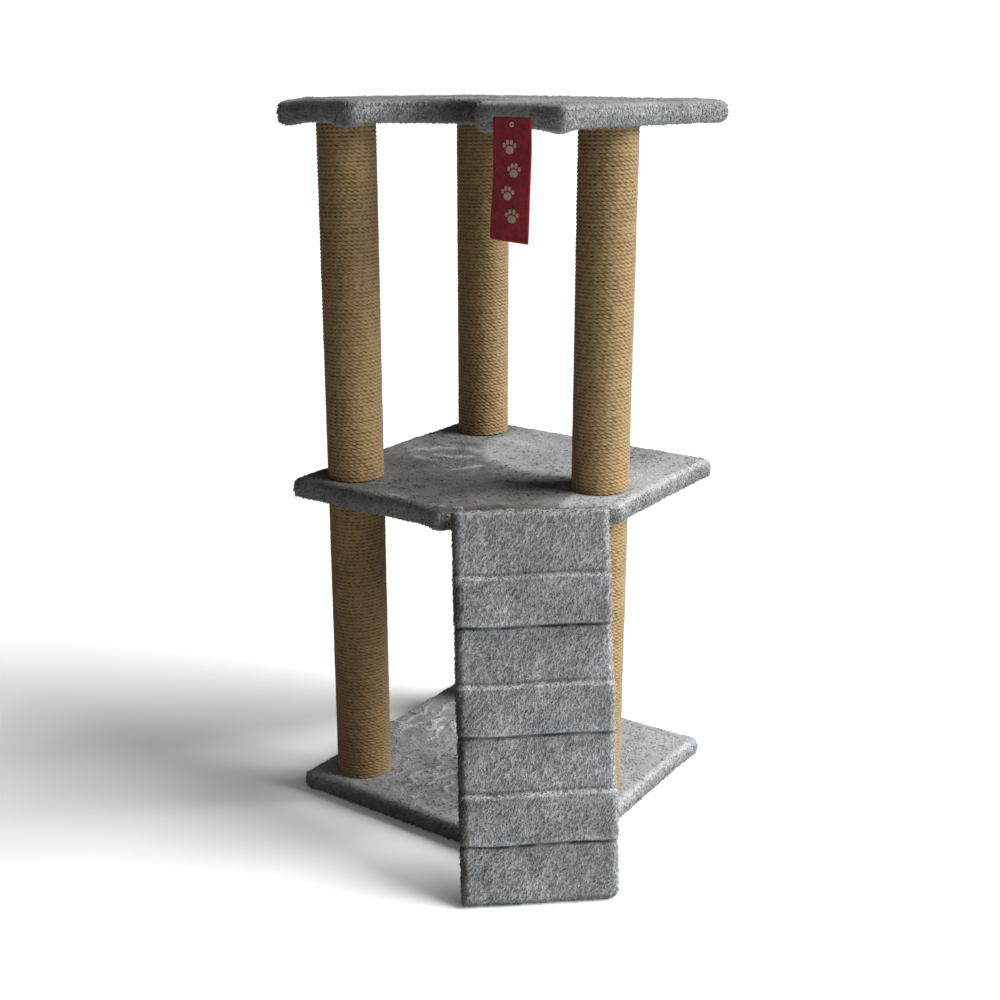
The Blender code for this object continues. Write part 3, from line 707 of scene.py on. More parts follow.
FINISHES = {
    "chipboard": board_finish(),
    "lining_felt": felt_finish(),
    "card_tube": card_finish(),
    "plug_wood": plug_finish(),
    "zinc_steel": zinc_finish(),
    "eyelet_metal": eyelet_finish(),
}
TIP_GREY = (0.385, 0.394, 0.405)
# Each first colour is the painted shade at the pile's roots; the backing, at tone 0.5, lies between it and the
# tips.
PLUSH_BACKING = plush_finish("plush_backing", (0.14, 0.14, 0.143), TIP_GREY)
PLUSH_PILE = plush_finish("plush_pile", (0.16, 0.16, 0.163), TIP_GREY)
ROPE = rope_finish()
FIBRE = fibre_finish()
LABEL = label_finish()


# ---- where the posts stand ----
SIDES = ("left", "back", "right")


def post_of(name):
    """A post's centre, outer radius, foot and head, from its packed rope sleeve."""
    low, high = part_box(f"{name}_rope")
    return ((low.x + high.x) / 2, (low.y + high.y) / 2), (high.x - low.x) / 2, low.z, high.z


FEET = np.array([post_of(f"upper_{side}_post")[0] for side in SIDES])
POST_R = post_of("upper_left_post")[1]


# ---- the three boards' covers ----
DECK_SPACING = 0.004
DECK_PILE = 47000
DECK_TUFT_T = 0.00115
DECK_CLUMP = 0.0062
TOP_INSET = 0.020
RIM_BULGE = 0.0016
CORNER_PUFF = 0.0042
CORNER_REACH = 0.055
CORNER_DROP = 0.0008
FOOT_PRESS = 0.0012  # how deep a post's foot presses the pile
RUFFLE_LIFT = 0.0014
SMOOTHED = 0.62  # how far a hand smoothed the curls on top
UPRIGHT = 0.7  # a face or point whose normal rises or falls more than this is top or underside
UNDER_SHARE, RIM_SHARE = 0.35, 1.7  # tufts per area against the top's
BACKING_FLOOR, PILE_FLOOR = 0.0003, 0.0002  # least height over the floor
NAP_PATCHES = ((0.10, 0.07), (0.07, 0.011))  # lightness and width of the nap's patches
TUFT_LIGHT = 0.05
MEAN_WITHIN = 0.4  # how far inside its clump a tuft is on the whole
CLOTH_WAVES = ((0.0005, 0.030), (0.0003, 0.009))  # height and width of the waves in the cloth
NAP_SWIRLS = ((1.1, 0.09), (0.9, 0.02))  # turn in radians and width of the swirls in the nap
ON_FLAT = (0.3, 0.85)  # between a normal that rises this little and this much, rim turns into top
RIM_LEAN, TOP_LEAN, RUFFLED_LEAN = 0.85, 0.38, 0.5  # radians; what the top adds, and what ruffling takes away
RIM_LENGTH, TOP_SHORTER = 0.0052, 0.0010


def deck_corners(shape):
    corners = [(-HALF_X, -HALF_Y), (HALF_X, -HALF_Y), (HALF_X, HALF_Y), (-HALF_X, HALF_Y)]
    if shape == "chamfered":
        rise = CHAMFER_X * math.tan(CHAMFER_TURN)
        corners[1:2] = [(HALF_X - CHAMFER_X, -HALF_Y), (HALF_X, -HALF_Y + rise)]
    return np.array(corners)


def lattice_over(low, high, spacing):
    """Points in staggered rows over a rectangle."""
    rows = np.arange(low[1], high[1], spacing * 0.87)
    across = np.arange(low[0], high[0], spacing)
    x, y = np.meshgrid(across, rows)
    return np.column_stack([(x + (np.arange(len(rows)) % 2)[:, None] * spacing / 2).ravel(), y.ravel()])


def to_feet(places):
    """Distance in plan to the nearest post's centre."""
    return np.min(np.linalg.norm(places[:, None, :2] - FEET[None], axis=2), axis=1)


def waves(places, sizes, seed):
    """Two soft noises over each other, each with its height and width."""
    (high, wide), (low, narrow) = sizes
    return high * soft_noise(places, wide, seed) + low * soft_noise(places, narrow, seed + 1)


def brushed(places, seed):
    """How light the nap lies, about 0.3 to 0.7: broad patches and smaller clumps."""
    return 0.5 + waves(places, NAP_PATCHES, seed)


def wisps(places, size, width, seed):
    """Thin curling lines, 1 on the line: where a warped noise crosses zero."""
    warp = np.column_stack([soft_noise(places, size * 0.6, seed + k) for k in (1, 2, 3)])
    return ridge(soft_noise(places + 0.35 * size * warp, size, seed), 0.0, width)


def strokes(places, lines, seed):
    """Soft, slightly wavering brush strokes, 1 along each: rows are x, y at each end, width and strength."""
    total = np.zeros(len(places))
    waver = 0.006 * np.column_stack([soft_noise(places, 0.022, seed), soft_noise(places, 0.022, seed + 1)])
    ragged = 1.0 + 0.7 * soft_noise(places, 0.007, seed + 2)
    for x0, y0, x1, y1, wide, strength in lines:
        along = np.array([x1 - x0, y1 - y0])
        offset = places[:, :2] + waver - [x0, y0]
        share = np.clip(offset @ along / (along @ along), 0.0, 1.0)
        away = np.linalg.norm(offset - share[:, None] * along, axis=1)
        total += strength * ridge(away, 0.0, wide) * ragged
    return total


def facing_up(points, triangles):
    """The height of each triangle's unit normal: 1 on top, 0 on a side, -1 underneath."""
    a, b, c = (points[triangles[:, k]] for k in range(3))
    return unit(np.cross(b - a, c - a))[:, 2]


def backing(name, body, points, triangles, patch, lie, ruffle):
    """A cover's woven cloth, seen between its tufts."""
    values = {"tone": np.full(len(points), 0.5), "patch": patch, "lie": lie, "ruffle": ruffle}
    skin = new_piece(f"{name}_plush_backing", points, triangles, PLUSH_BACKING, values)
    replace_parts(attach(skin, body), f"{name}_plush_cover")


def pile(name, body, tufts, patch, lie, ruffle):
    """A cover's standing tufts, each with one patch, lie and ruffle for its four points."""
    points, faces, tone, places = tufts
    points[:, 2] = np.maximum(points[:, 2], cad_low.z + PILE_FLOOR)
    values = {"tone": tone, "patch": np.repeat(patch, 4), "lie": np.repeat(lie, 4, axis=0)}
    values["ruffle"] = np.repeat(ruffle, 4)
    made = new_piece(f"{name}_plush_pile", points, faces, PLUSH_PILE, values, {"OFBake": places})
    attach(made, body)


def own_light(root, seed):
    """A little more or less light for each tuft by itself."""
    return np.random.default_rng(seed).normal(0.0, TUFT_LIGHT, len(root))


def deck_cover(level, shape, lie, lumps, sags, keep_off, marks, seed):
    """A board's plush: backing stretched over it, and pile that lies along lie on top and hangs on the rim.

    marks gives, for places on it, how much lighter it is (nap and painted light and shade) and how far the nap was
    ruffled up.
    """
    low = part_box(f"{level}_plush_cover")[0].z
    corners = deck_corners(shape)
    notch = (NOTCH_R, NOTCH_FILLET, -HALF_Y) if shape == "notched" else None

    def path_at(inset):
        return plan(corners, [CORNER_R] * len(corners), inset, DECK_SPACING, notch)

    section = rim_section(DECK_T, EDGE_R, COVER_T + HEM_W, TOP_INSET, RIM_BULGE)
    lattice = lattice_over((-HALF_X, -HALF_Y), (HALF_X, HALF_Y), DECK_SPACING)
    points, triangles, outside = cover_shell(path_at, section, lattice, DECK_SPACING)
    normals = point_normals(points, triangles)
    upward = normals[:, 2]
    in_plan = points * [1.0, 1.0, 0.0]
    swell = waves(points, CLOTH_WAVES, seed + 5) + RUFFLE_LIFT * marks(points)[1] * (upward > UPRIGHT)
    pressed = FOOT_PRESS * (1.0 - smooth_step(POST_R - 0.002, POST_R + 0.010, to_feet(points)))
    moved = points + normals * (outside * (swell - pressed * (np.abs(upward) > UPRIGHT)))[:, None]
    for centre, reach, drop in lumps:
        hill = bump_at(points, centre, reach) * outside * smooth_step(0.95, -0.2, upward)
        moved[:, 2] -= drop * hill
        moved += normals * (0.2 * drop * hill * (1.0 - np.abs(upward)))[:, None]
    for corner in corners:
        hill = bump_at(in_plan, (*corner, 0.0), (CORNER_REACH, CORNER_REACH, 1.0)) * outside
        moved[:, :2] += (CORNER_PUFF * hill * smooth_step(1.0, 0.55, np.abs(upward)))[:, None] * unit(corner)
        moved[:, 2] -= CORNER_DROP * hill * (points[:, 2] < DECK_T / 2)
    for centre, reach, drop in sags:
        moved[:, 2] -= drop * bump_at(in_plan, centre, reach)
    moved[:, 2] += low
    if level == "base":
        moved[:, 2] = np.maximum(moved[:, 2], BACKING_FLOOR)

    def ruffle(places):
        """Smooth on top, curly on the rim and where the nap was ruffled up."""
        top = smooth_step(DECK_T - 0.005, DECK_T - 0.0015, places[:, 2] - low)
        return 1.0 - SMOOTHED * top * (1.0 - np.clip(marks(places)[1], 0.0, 1.0))

    # The patch values: brushed nap plus the marks' nap and painted light and shade.
    backing(level, "stand", moved, triangles, brushed(moved, seed) + marks(moved)[0], moved, ruffle(moved))

    middle = moved[triangles].mean(1)
    facing = facing_up(moved, triangles)
    above, under = facing > UPRIGHT, facing < -UPRIGHT
    usable = outside[triangles].all(1) * np.where(above, 1.0, np.where(under, UNDER_SHARE, RIM_SHARE))
    usable *= ~((to_feet(middle) < POST_R - 0.001) & above & (level != "top"))
    usable *= ~((to_feet(middle) < POST_R + 0.001) & under & (level != "base"))
    if level == "base":
        usable *= facing > -UPRIGHT
    for away in keep_off:
        usable *= ~away(middle)

    def nap(root, normal):
        angle = lie + waves(root, NAP_SWIRLS, seed + 7)
        x, y, z = np.cos(angle), np.sin(angle), np.zeros(len(root))
        flat = np.column_stack([x, y, z])
        hang = np.column_stack([0.5 * x, 0.5 * y, z - 1.0])
        share = smooth_step(*ON_FLAT, np.abs(normal[:, 2]))[:, None]
        return flat * share + hang * (1.0 - share)

    def lean(root, normal):
        share = smooth_step(*ON_FLAT, normal[:, 2])
        flat = RIM_LEAN + TOP_LEAN * share + 0.2 * soft_noise(root, 0.016, seed + 9)
        return flat - RUFFLED_LEAN * share * np.clip(marks(root)[1], 0.0, 1.0)

    def length(root, normal):
        share = smooth_step(*ON_FLAT, np.abs(normal[:, 2]))
        return RIM_LENGTH - TOP_SHORTER * share + 0.0008 * soft_noise(root, 0.012, seed + 10)

    *tufts, root, within = pile_tufts(
        moved, triangles, usable, DECK_PILE, nap, length, lean, DECK_TUFT_T, DECK_CLUMP, seed + 11
    )
    # Tufts at their clump's edge are darker: painted shade between clumps.
    light = brushed(root, seed) + marks(root)[0] + 0.12 * (within - MEAN_WITHIN) + own_light(root, seed + 12)
    pile(level, "stand", tufts, light, root, ruffle(root))


# ---- ramp ----
HINGE = next(joint for joint in frame["joints"] if joint["name"] == "ramp_hinge")
RAMP_TURN = np.array(Matrix.Rotation(CHAMFER_TURN, 3, "Z") @ Matrix.Rotation(-RAMP_LEAN, 3, "X"))
RAMP_SPACING = 0.003
RAMP_LATTICE = 0.0035
RAMP_PILE = 47000
RAMP_TUFT_T = 0.00085
RAMP_CLUMP = 0.0052
RAMP_CORNERS = (0.005, 0.015, 0.007, 0.005)  # foot left, foot right, head right, head left
HINGE_ROOM = (0.064, 0.024)  # half width and depth kept clear of pile round the hinge
RAMP_TOP_INSET, RAMP_BULGE = 0.014, 0.0004
RAMP_WAVES = ((0.0006, 0.035), (0.0004, 0.010))
RAMP_LIE, RAMP_SWIRLS = -1.75, ((0.75, 0.05), (0.6, 0.014))
RAMP_TUFT_LEAN, RAMP_TUFT_L = 0.95, 0.0054
GROOVE_SHORTER = 0.6  # how much shorter the pile is over a groove
STEP_WANDER = 0.0016
DOWNWARDS = (1.0, 0.5, 1.0)  # stretches a noise along the ramp
SLANTING = np.array([[1.10, 0.32, 0.0], [-0.28, 0.46, 0.0], [0.0, 0.0, 1.0]])  # the ramp's curls run down it


def on_ramp(points):
    """(across, up the ramp, out of its back) in the model's frame, turned and moved to the ramp's hinge."""
    local = np.column_stack([points[:, 0], -(points[:, 2] + RAMP_STAND_OFF), points[:, 1]])
    return local @ RAMP_TURN.T + np.array(HINGE["pos_m"])


def ramp_foot():
    """The ramp's lower end, where its rounded back edge just meets the floor."""
    rise = HINGE["pos_m"][2] - CLEAR - RAMP_EDGE_R + (RAMP_STAND_OFF + RAMP_EDGE_R) * math.sin(RAMP_LEAN)
    return -(rise / math.cos(RAMP_LEAN) + RAMP_EDGE_R)


def step_relief(along):
    """Swell of the steps, and how far a step's lower edge hangs down over the groove under it.

    Each step rises gently at its top behind a small ridge, is flat, and ends sharply.
    """
    swell = np.zeros(len(along))
    droop = np.zeros(len(along))
    for top in STEP_TOPS:
        foot = top - STEP_L
        swell += STEP_T * smooth_step(0.0, 0.006, top - along) * smooth_step(0.0, 0.003, along - foot)
        swell += 0.0011 * ridge(along, top - 0.005, 0.003) - 0.0010 * ridge(along, top + 0.002, 0.002)
        swell -= 0.0014 * ridge(along, foot - 0.0025, 0.0025)
        droop += 0.0026 * ridge(along, foot + 0.004, 0.004)
    return swell, droop


def wandering(places, seed):
    """Places along the ramp, with the steps' edges not quite straight."""
    return places[:, 1] + STEP_WANDER * soft_noise(places * [1.0, 0.0, 0.0], 0.06, seed + 3)


def ramp_shade(places, seed):
    """Painted light and shade: pale step tops, dark under and beside the steps, a dark left edge, a pale right
    one.
    """
    along = wandering(places, seed)
    half = RAMP_W / 2
    # Painted shade in the groove under each step's foot, patchy across the ramp.
    hidden = np.clip(0.36 + 0.30 * soft_noise(places, 0.018, seed + 22), 0.08, 0.55)
    shade_blotches = np.clip(soft_noise(places, 0.032, seed + 23) + 0.15, 0.0, 1.0)
    # Painted shade at each step's left and right ends.
    beside = 0.13 * smooth_step(0.05, 0.105, np.abs(places[:, 0]))
    tone = 0.10 * smooth_step(-0.010, -0.002, along) + 0.10 * soft_noise(places, 0.040, seed + 24) - 0.03
    for top in STEP_TOPS:
        foot = top - STEP_L
        # Painted highlight along each step's top, painted shade in the crease just above it.
        tone += 0.13 * ridge(along, top - 0.004, 0.0026) - 0.22 * ridge(along, top + 0.002, 0.0026)
        # Painted shade in a broad patchy band under each step's foot.
        shade_under_foot = 0.22 * shade_blotches * ridge(along, foot - 0.012, 0.012)
        tone -= hidden * ridge(along, foot - 0.003, 0.0026) + shade_under_foot
        # Painted highlight along each step's lower edge.
        tone += 0.10 * ridge(along, foot + 0.005, 0.003)
        tone -= beside * smooth_step(0.0, 0.02, top - along) * smooth_step(-0.002, 0.012, along - foot)
    rag = 0.003 * soft_noise(places, 0.006, seed + 21)
    # Painted shade down the rounded left edge, which turns away from the lamp.
    tone -= 0.26 * smooth_step(half - 0.013, half - 0.006, rag - places[:, 0])
    # Painted light along the right edge, which faces the lamp.
    return tone + 0.10 * smooth_step(half - 0.007, half - 0.002, rag + places[:, 0])


def ramp_cover(seed):
    """The ramp's plush over its board and three padded steps, with the nap brushed down it at a slant."""
    foot = ramp_foot()
    half = RAMP_W / 2
    corners = np.array([(-half, foot), (half, foot), (half, RAMP_HEAD), (-half, RAMP_HEAD)])

    def path_at(inset):
        return plan(corners, RAMP_CORNERS, inset, RAMP_SPACING)

    section = rim_section(RAMP_T, RAMP_EDGE_R, RAMP_HEM_W, RAMP_TOP_INSET, RAMP_BULGE)
    rows = np.arange(foot, RAMP_HEAD, RAMP_LATTICE)
    for top in STEP_TOPS:
        rows = np.append(rows, top + np.arange(-0.010, 0.007, 0.0012))
        rows = np.append(rows, top - STEP_L + np.arange(-0.008, 0.010, 0.0010))
    across, along = np.meshgrid(np.arange(-half, half, RAMP_LATTICE), np.unique(np.round(rows, 4)))
    lattice = np.column_stack([across.ravel(), along.ravel()])
    points, triangles, outside = cover_shell(path_at, section, lattice, RAMP_SPACING)
    front = outside * smooth_step(0.25, 0.8, points[:, 2] / RAMP_T)
    swell, droop = step_relief(wandering(points, seed))
    moved = points.copy()
    moved[:, 2] += swell * front
    moved[:, 1] -= droop * front
    edge = smooth_step(half - 0.012, half - 0.002, np.abs(points[:, 0]))
    moved[:, 0] += np.sign(points[:, 0]) * 0.28 * swell * front * edge
    uneven = waves(points, RAMP_WAVES, seed + 5)
    moved += point_normals(points, triangles) * (outside * uneven)[:, None]
    placed = on_ramp(moved)
    placed[:, 2] = np.maximum(placed[:, 2], BACKING_FLOOR)
    patch = brushed(moved, seed) + ramp_shade(moved, seed)
    backing("ramp", "ramp", placed, triangles, patch, moved @ SLANTING, np.ones(len(moved)))

    facing = facing_up(moved, triangles)
    middle = moved[triangles].mean(1)
    usable = outside[triangles].all(1) * np.where(facing > 0.5, 1.0, np.where(facing < -UPRIGHT, 0.4, 1.3))
    by_hinge = (np.abs(middle[:, 0]) < HINGE_ROOM[0]) & (middle[:, 1] > -HINGE_ROOM[1])
    usable *= ~((facing < -0.3) & by_hinge)

    def nap(root, normal):
        angle = RAMP_LIE + waves(root, RAMP_SWIRLS, seed + 7)
        return np.column_stack([np.cos(angle), np.sin(angle), np.zeros(len(root))])

    def lean(root, normal):
        return RAMP_TUFT_LEAN + 0.22 * soft_noise(root * DOWNWARDS, 0.010, seed + 9)

    def length(root, normal):
        over_groove = np.max([ridge(root[:, 1], top - STEP_L + 0.001, 0.004) for top in STEP_TOPS], axis=0)
        grown = RAMP_TUFT_L + 0.0009 * soft_noise(root * DOWNWARDS, 0.009, seed + 10)
        return grown * (1.0 - GROOVE_SHORTER * over_groove)

    *tufts, root, within = pile_tufts(
        moved, triangles, usable, RAMP_PILE, nap, length, lean, RAMP_TUFT_T, RAMP_CLUMP, seed + 11
    )
    # Tufts at their clump's edge are darker: painted shade between clumps.
    clump_edge_shade = 0.14 * (within - MEAN_WITHIN)
    light = brushed(root, seed) + ramp_shade(root, seed) + clump_edge_shade + own_light(root, seed + 12)
    tufts[0] = on_ramp(tufts[0])
    pile("ramp", "ramp", tufts, light, root @ SLANTING, np.ones(len(root)))


# ---- wound rope ----
ROPE_COLUMNS = 176  # points round a turn
ROPE_ROWS = 5  # points across a turn
STRANDS = 3
LAY = 0.0285  # length of rope in which a strand goes once round it
GROOVE = 0.0015  # between turns
STRAND_GROOVE = 0.0015  # between strands
DEEPEST, PROUDEST = 0.0035, 0.0003  # a groove's floor and a strand's crown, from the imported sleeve's outside
ROPE_HAIRS = 420
HAIR_T = 0.00016
HAIR_CLUMP = 0.012
HAIR_CLEAR = 0.006  # no hairs grow this near a post's ends
HIDDEN_CELL = np.array([[0.985, 0.2], [0.99, 0.2], [0.99, 0.8], [0.985, 0.8]])  # the inside's place in UV


def side_by_side(*corners):
    """A quad's four corner values, each an array over the grid, as one row for each quad."""
    return np.stack(corners, axis=-1).reshape(-1, 4)


def wound_rope(name, seed):
    """A rope wound up a tube: its surface over (angle, height), with the tube's side closed behind it.

    A turn's place across the rope is s = z / pitch - angle / 2 pi - whole turns, less a half.  The radius
    falls from the crown as 1 - sqrt(1 - 4 s^2), and each of three strands, |cos(3/2 (asin 2s + 2 pi run /
    lay))|, swells it a little.
    """
    (x, y), outer, low, high = post_of(name)
    height = high - low
    turns = round(height / ROPE_D)
    pitch = height / turns
    column = np.arange(ROPE_COLUMNS)
    row = np.arange(-ROPE_ROWS, (turns + 1) * ROPE_ROWS + 1)
    angle = 2 * math.pi * column / ROPE_COLUMNS
    z = np.clip(pitch * (row[:, None] / ROPE_ROWS + column / ROPE_COLUMNS), 0.0, height)
    turn = z / pitch - angle / (2 * math.pi)
    whole = np.floor(turn + 1e-9)
    across = np.clip(turn - whole - 0.5, -0.5, 0.5)
    run = (whole + 0.5) * 2 * math.pi * outer + angle * outer
    crown = np.sqrt(np.clip(1.0 - 3.9 * across**2, 0.0, 1.0))
    drift = soft_noise(run.reshape(-1, 1) * [1 / 9.0, 0.0, 0.0], 0.004, seed).reshape(run.shape)
    phase = STRANDS / 2 * (np.arcsin(np.clip(2 * across, -1, 1)) + 2 * math.pi * run / LAY + 1.2 * drift)
    strand = np.abs(np.cos(phase))
    round_x, round_y = (np.broadcast_to(turned, z.shape) for turned in (np.cos(angle), np.sin(angle)))
    spot = np.stack([outer * round_x, outer * round_y, z], axis=-1).reshape(-1, 3)
    slack = soft_noise(spot, 0.02, seed + 1).reshape(z.shape) * 0.0003
    cut = np.clip(1.0 + 0.55 * soft_noise(spot, 0.007, seed + 2), 0.4, 1.5).reshape(z.shape)
    depth = GROOVE * (1.0 - crown) + STRAND_GROOVE * (1.0 - strand) * (0.4 + 0.6 * crown)
    radius = np.clip(outer - 0.0002 + slack - cut * depth, outer - DEEPEST, outer + PROUDEST)
    points = np.stack([radius * round_x, radius * round_y, z], axis=-1).reshape(-1, 3)
    # dip: how much painted shade darkens a point, deepest in the grooves between turns and strands.
    dip = 0.22 * (1.0 - crown) + 1.3 * (1.0 - strand) ** 1.2 * (1.25 - crown)
    dip = np.clip(cut * dip, 0.0, 1.0).ravel()

    r, c = np.meshgrid(np.arange(len(row) - 1), column, indexing="ij")
    wraps = c == ROPE_COLUMNS - 1
    jump = np.where(wraps, ROPE_ROWS, 0)
    kept = (r + 1 + jump < len(row)).ravel()
    next_c = np.where(wraps, 0, c + 1)

    def index(rr, cc):
        return (np.minimum(rr, len(row) - 1) * ROPE_COLUMNS + cc).ravel()

    quads = [index(r, c), index(r + jump, next_c), index(r + 1 + jump, next_c), index(r + 1, c)]
    quads = np.column_stack(quads)[kept]
    level = row[r] / ROPE_ROWS
    whole_turn = np.floor(level)
    u0, u1 = whole_turn + c / ROPE_COLUMNS, whole_turn + (c + 1) / ROPE_COLUMNS
    v0, v1 = level - whole_turn, (row[r] + 1) / ROPE_ROWS - whole_turn
    u = side_by_side(u0, u1, u1, u0)[kept] * 2 * math.pi * outer
    v = side_by_side(v0, v0, v1, v1)[kept] * pitch
    run_map = np.stack([u, v], axis=-1)
    total = len(row) + ROPE_ROWS
    climb = (r + c / ROPE_COLUMNS * ROPE_ROWS) / total
    climb_on = (r + (c + 1) / ROPE_COLUMNS * ROPE_ROWS) / total
    u = side_by_side(c, c + 1, c + 1, c)[kept] / ROPE_COLUMNS
    v = side_by_side(climb, climb_on, climb_on + 1 / total, climb + 1 / total)[kept]
    bake_map = np.stack([u * 0.96 + 0.01, v * 0.98 + 0.01], axis=-1)

    back = outer - ROPE_D + CLEAR
    ends = len(points)
    ring = np.column_stack([back * np.cos(angle), back * np.sin(angle), np.zeros(ROPE_COLUMNS)])
    points = np.concatenate([points, ring, ring + [0.0, 0.0, height]])
    # The hidden inside wall is painted fully shaded.
    dip = np.concatenate([dip, np.ones(2 * ROPE_COLUMNS)])
    after = (column + 1) % ROPE_COLUMNS
    foot, head = ends + column, ends + ROPE_COLUMNS + column
    foot_on, head_on = ends + after, ends + ROPE_COLUMNS + after
    top = (len(row) - 1) * ROPE_COLUMNS
    bands = [
        (foot, foot_on, after, column),
        (top + column, top + after, head_on, head),
        (foot_on, foot, head, head_on),
    ]
    closing = np.concatenate([np.column_stack(corners) for corners in bands])
    hidden = np.tile(HIDDEN_CELL, (len(closing), 1, 1))
    triangles = quads_to_triangles(np.concatenate([quads, closing]))
    maps = [np.concatenate([run_map, hidden * 0.01]), np.concatenate([bake_map, hidden])]
    maps = [quads_to_triangles(places) for places in maps]
    points, triangles, maps, index_of = welded(points, triangles, maps)
    groove_shade = np.zeros(len(points))
    groove_shade[index_of] = dip
    points = points + [x, y, low]
    maps = {"OFBake": maps[1].reshape(-1, 2), "run": maps[0].reshape(-1, 2)}
    sleeve = new_piece(f"{name}_wound_rope", points, triangles, ROPE, {"dip": groove_shade}, maps)
    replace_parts(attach(sleeve, "stand"), f"{name}_rope")

    centre = points[triangles].mean(1) - [x, y, 0.0]
    outside = np.linalg.norm(centre[:, :2], axis=1) > back + 0.001
    outside &= (centre[:, 2] > low + HAIR_CLEAR) & (centre[:, 2] < high - HAIR_CLEAR)

    def around(root, normal):
        way = np.where(soft_noise(root, 0.002, seed + 5) > 0.0, 1.0, -1.0)[:, None]
        slant = 0.5 * soft_noise(root, 0.002, seed + 6)
        return np.column_stack([-normal[:, 1], normal[:, 0], slant]) * way

    def leaning(root, normal):
        return 1.12 + 0.3 * soft_noise(root, 0.002, seed + 7)

    def hair_length(root, normal):
        return 0.0085 + 0.0035 * soft_noise(root, 0.002, seed + 8)

    points, faces, tone, places, _, _ = pile_tufts(
        points, triangles, outside * 1.0, ROPE_HAIRS, around,
        hair_length, leaning, HAIR_T, HAIR_CLUMP, seed + 9,
    )
    hairs = new_piece(f"{name}_loose_fibres", points, faces, FIBRE, {"tone": tone}, {"OFBake": places})
    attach(hairs, "stand")


# ---- label ----
LABEL_COLUMNS, LABEL_ROWS = 48, 120
LABEL_T = 0.0008


def hanging_label():
    """A limp label: a sheet over (across, down) that bows outwards and swings a little clear at its foot."""
    low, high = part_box("tag")
    width, length = high.x - low.x, high.z - low.z
    columns, rows = np.linspace(0.0, 1.0, LABEL_COLUMNS + 1), np.linspace(0.0, 1.0, LABEL_ROWS + 1)
    across, down = np.meshgrid(columns, rows)
    slant = 0.004 * (1.0 - across) * down
    corner = 0.0025 * smooth_step(0.06, 0.0, across) * smooth_step(0.97, 1.0, down)
    x = low.x + width * across + 0.0006 * np.sin(5.0 * down)
    z = high.z - (length - slant - corner) * down
    bow = 0.0016 * np.sin(math.pi * across) * smooth_step(0.05, 0.5, down)
    swing = 0.0055 * down**2 - 0.0020 * (across - 0.5) * down
    wave = 0.0005 * np.sin(9.0 * down + 3.0 * across)
    y = (low.y + high.y) / 2 - bow - swing - wave * smooth_step(0.1, 0.3, down)
    sheet = np.stack([x, y, z], axis=-1).reshape(-1, 3)
    points = np.concatenate([sheet - [0.0, LABEL_T / 2, 0.0], sheet + [0.0, LABEL_T / 2, 0.0]])
    count = len(sheet)
    grid = np.arange(count).reshape(down.shape)
    face = np.stack([grid[1:, :-1], grid[1:, 1:], grid[:-1, 1:], grid[:-1, :-1]], axis=-1).reshape(-1, 4)
    rim = np.concatenate([grid[0, :-1], grid[:-1, -1], grid[-1, :0:-1], grid[:0:-1, 0]])
    rim_on = np.roll(rim, -1)
    sides = np.column_stack([rim, rim_on, rim_on + count, rim + count])
    quads = np.concatenate([face, face[:, ::-1] + count, sides])
    places = np.tile(np.stack([across * width, down * length], axis=-1).reshape(-1, 2), (2, 1))
    triangles = quads_to_triangles(quads)
    cloth = places[triangles].reshape(-1, 2)
    label = new_piece("hanging_label", points, triangles, LABEL, None, {"cloth": cloth})
    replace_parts(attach(label, "tag"), "tag")


# ---- studio ----
FLOOR_HALF = 30.0
FLOOR_DROP = 0.0005  # the floor lies this far under the tree
FLOOR_GLOW = 0.05
FLOOR_RETURN = (0.30, 0.29, 0.28, 1.0)  # how much light the floor sends up to the tree
WARM_LIGHT, WARM_STRENGTH = (1.0, 0.90, 0.80, 1.0), 0.128
WHITE, WHITE_STRENGTH = (1.0, 1.0, 1.0, 1.0), 1.1
LAMPS = {  # kind, light's direction, place, and settings
    "key_lamp": (
        "SUN",
        (-0.885, -0.465, -0.72),
        (0.0, 0.0, 0.0),
        {"energy": 6.0, "angle": 0.72, "color": (0.985, 1.0, 0.995)},
    ),
    "low_lamp": (
        "AREA",
        (-1.0, 0.27, -0.12),
        (1.30, -0.36, 0.40),
        {"energy": 10.5, "color": (0.86, 0.95, 1.0), "shape": "RECTANGLE", "size": 1.1, "size_y": 0.6},
    ),
}


def seen_and_lit(tree, lit, seen):
    """One shader for what the camera sees, another for the light that reaches the tree."""
    direct = add(tree, "LightPath").outputs["Is Camera Ray"]
    return add(tree, "MixShader", {0: direct, 1: lit.outputs[0], 2: seen.outputs[0]}).outputs[0]


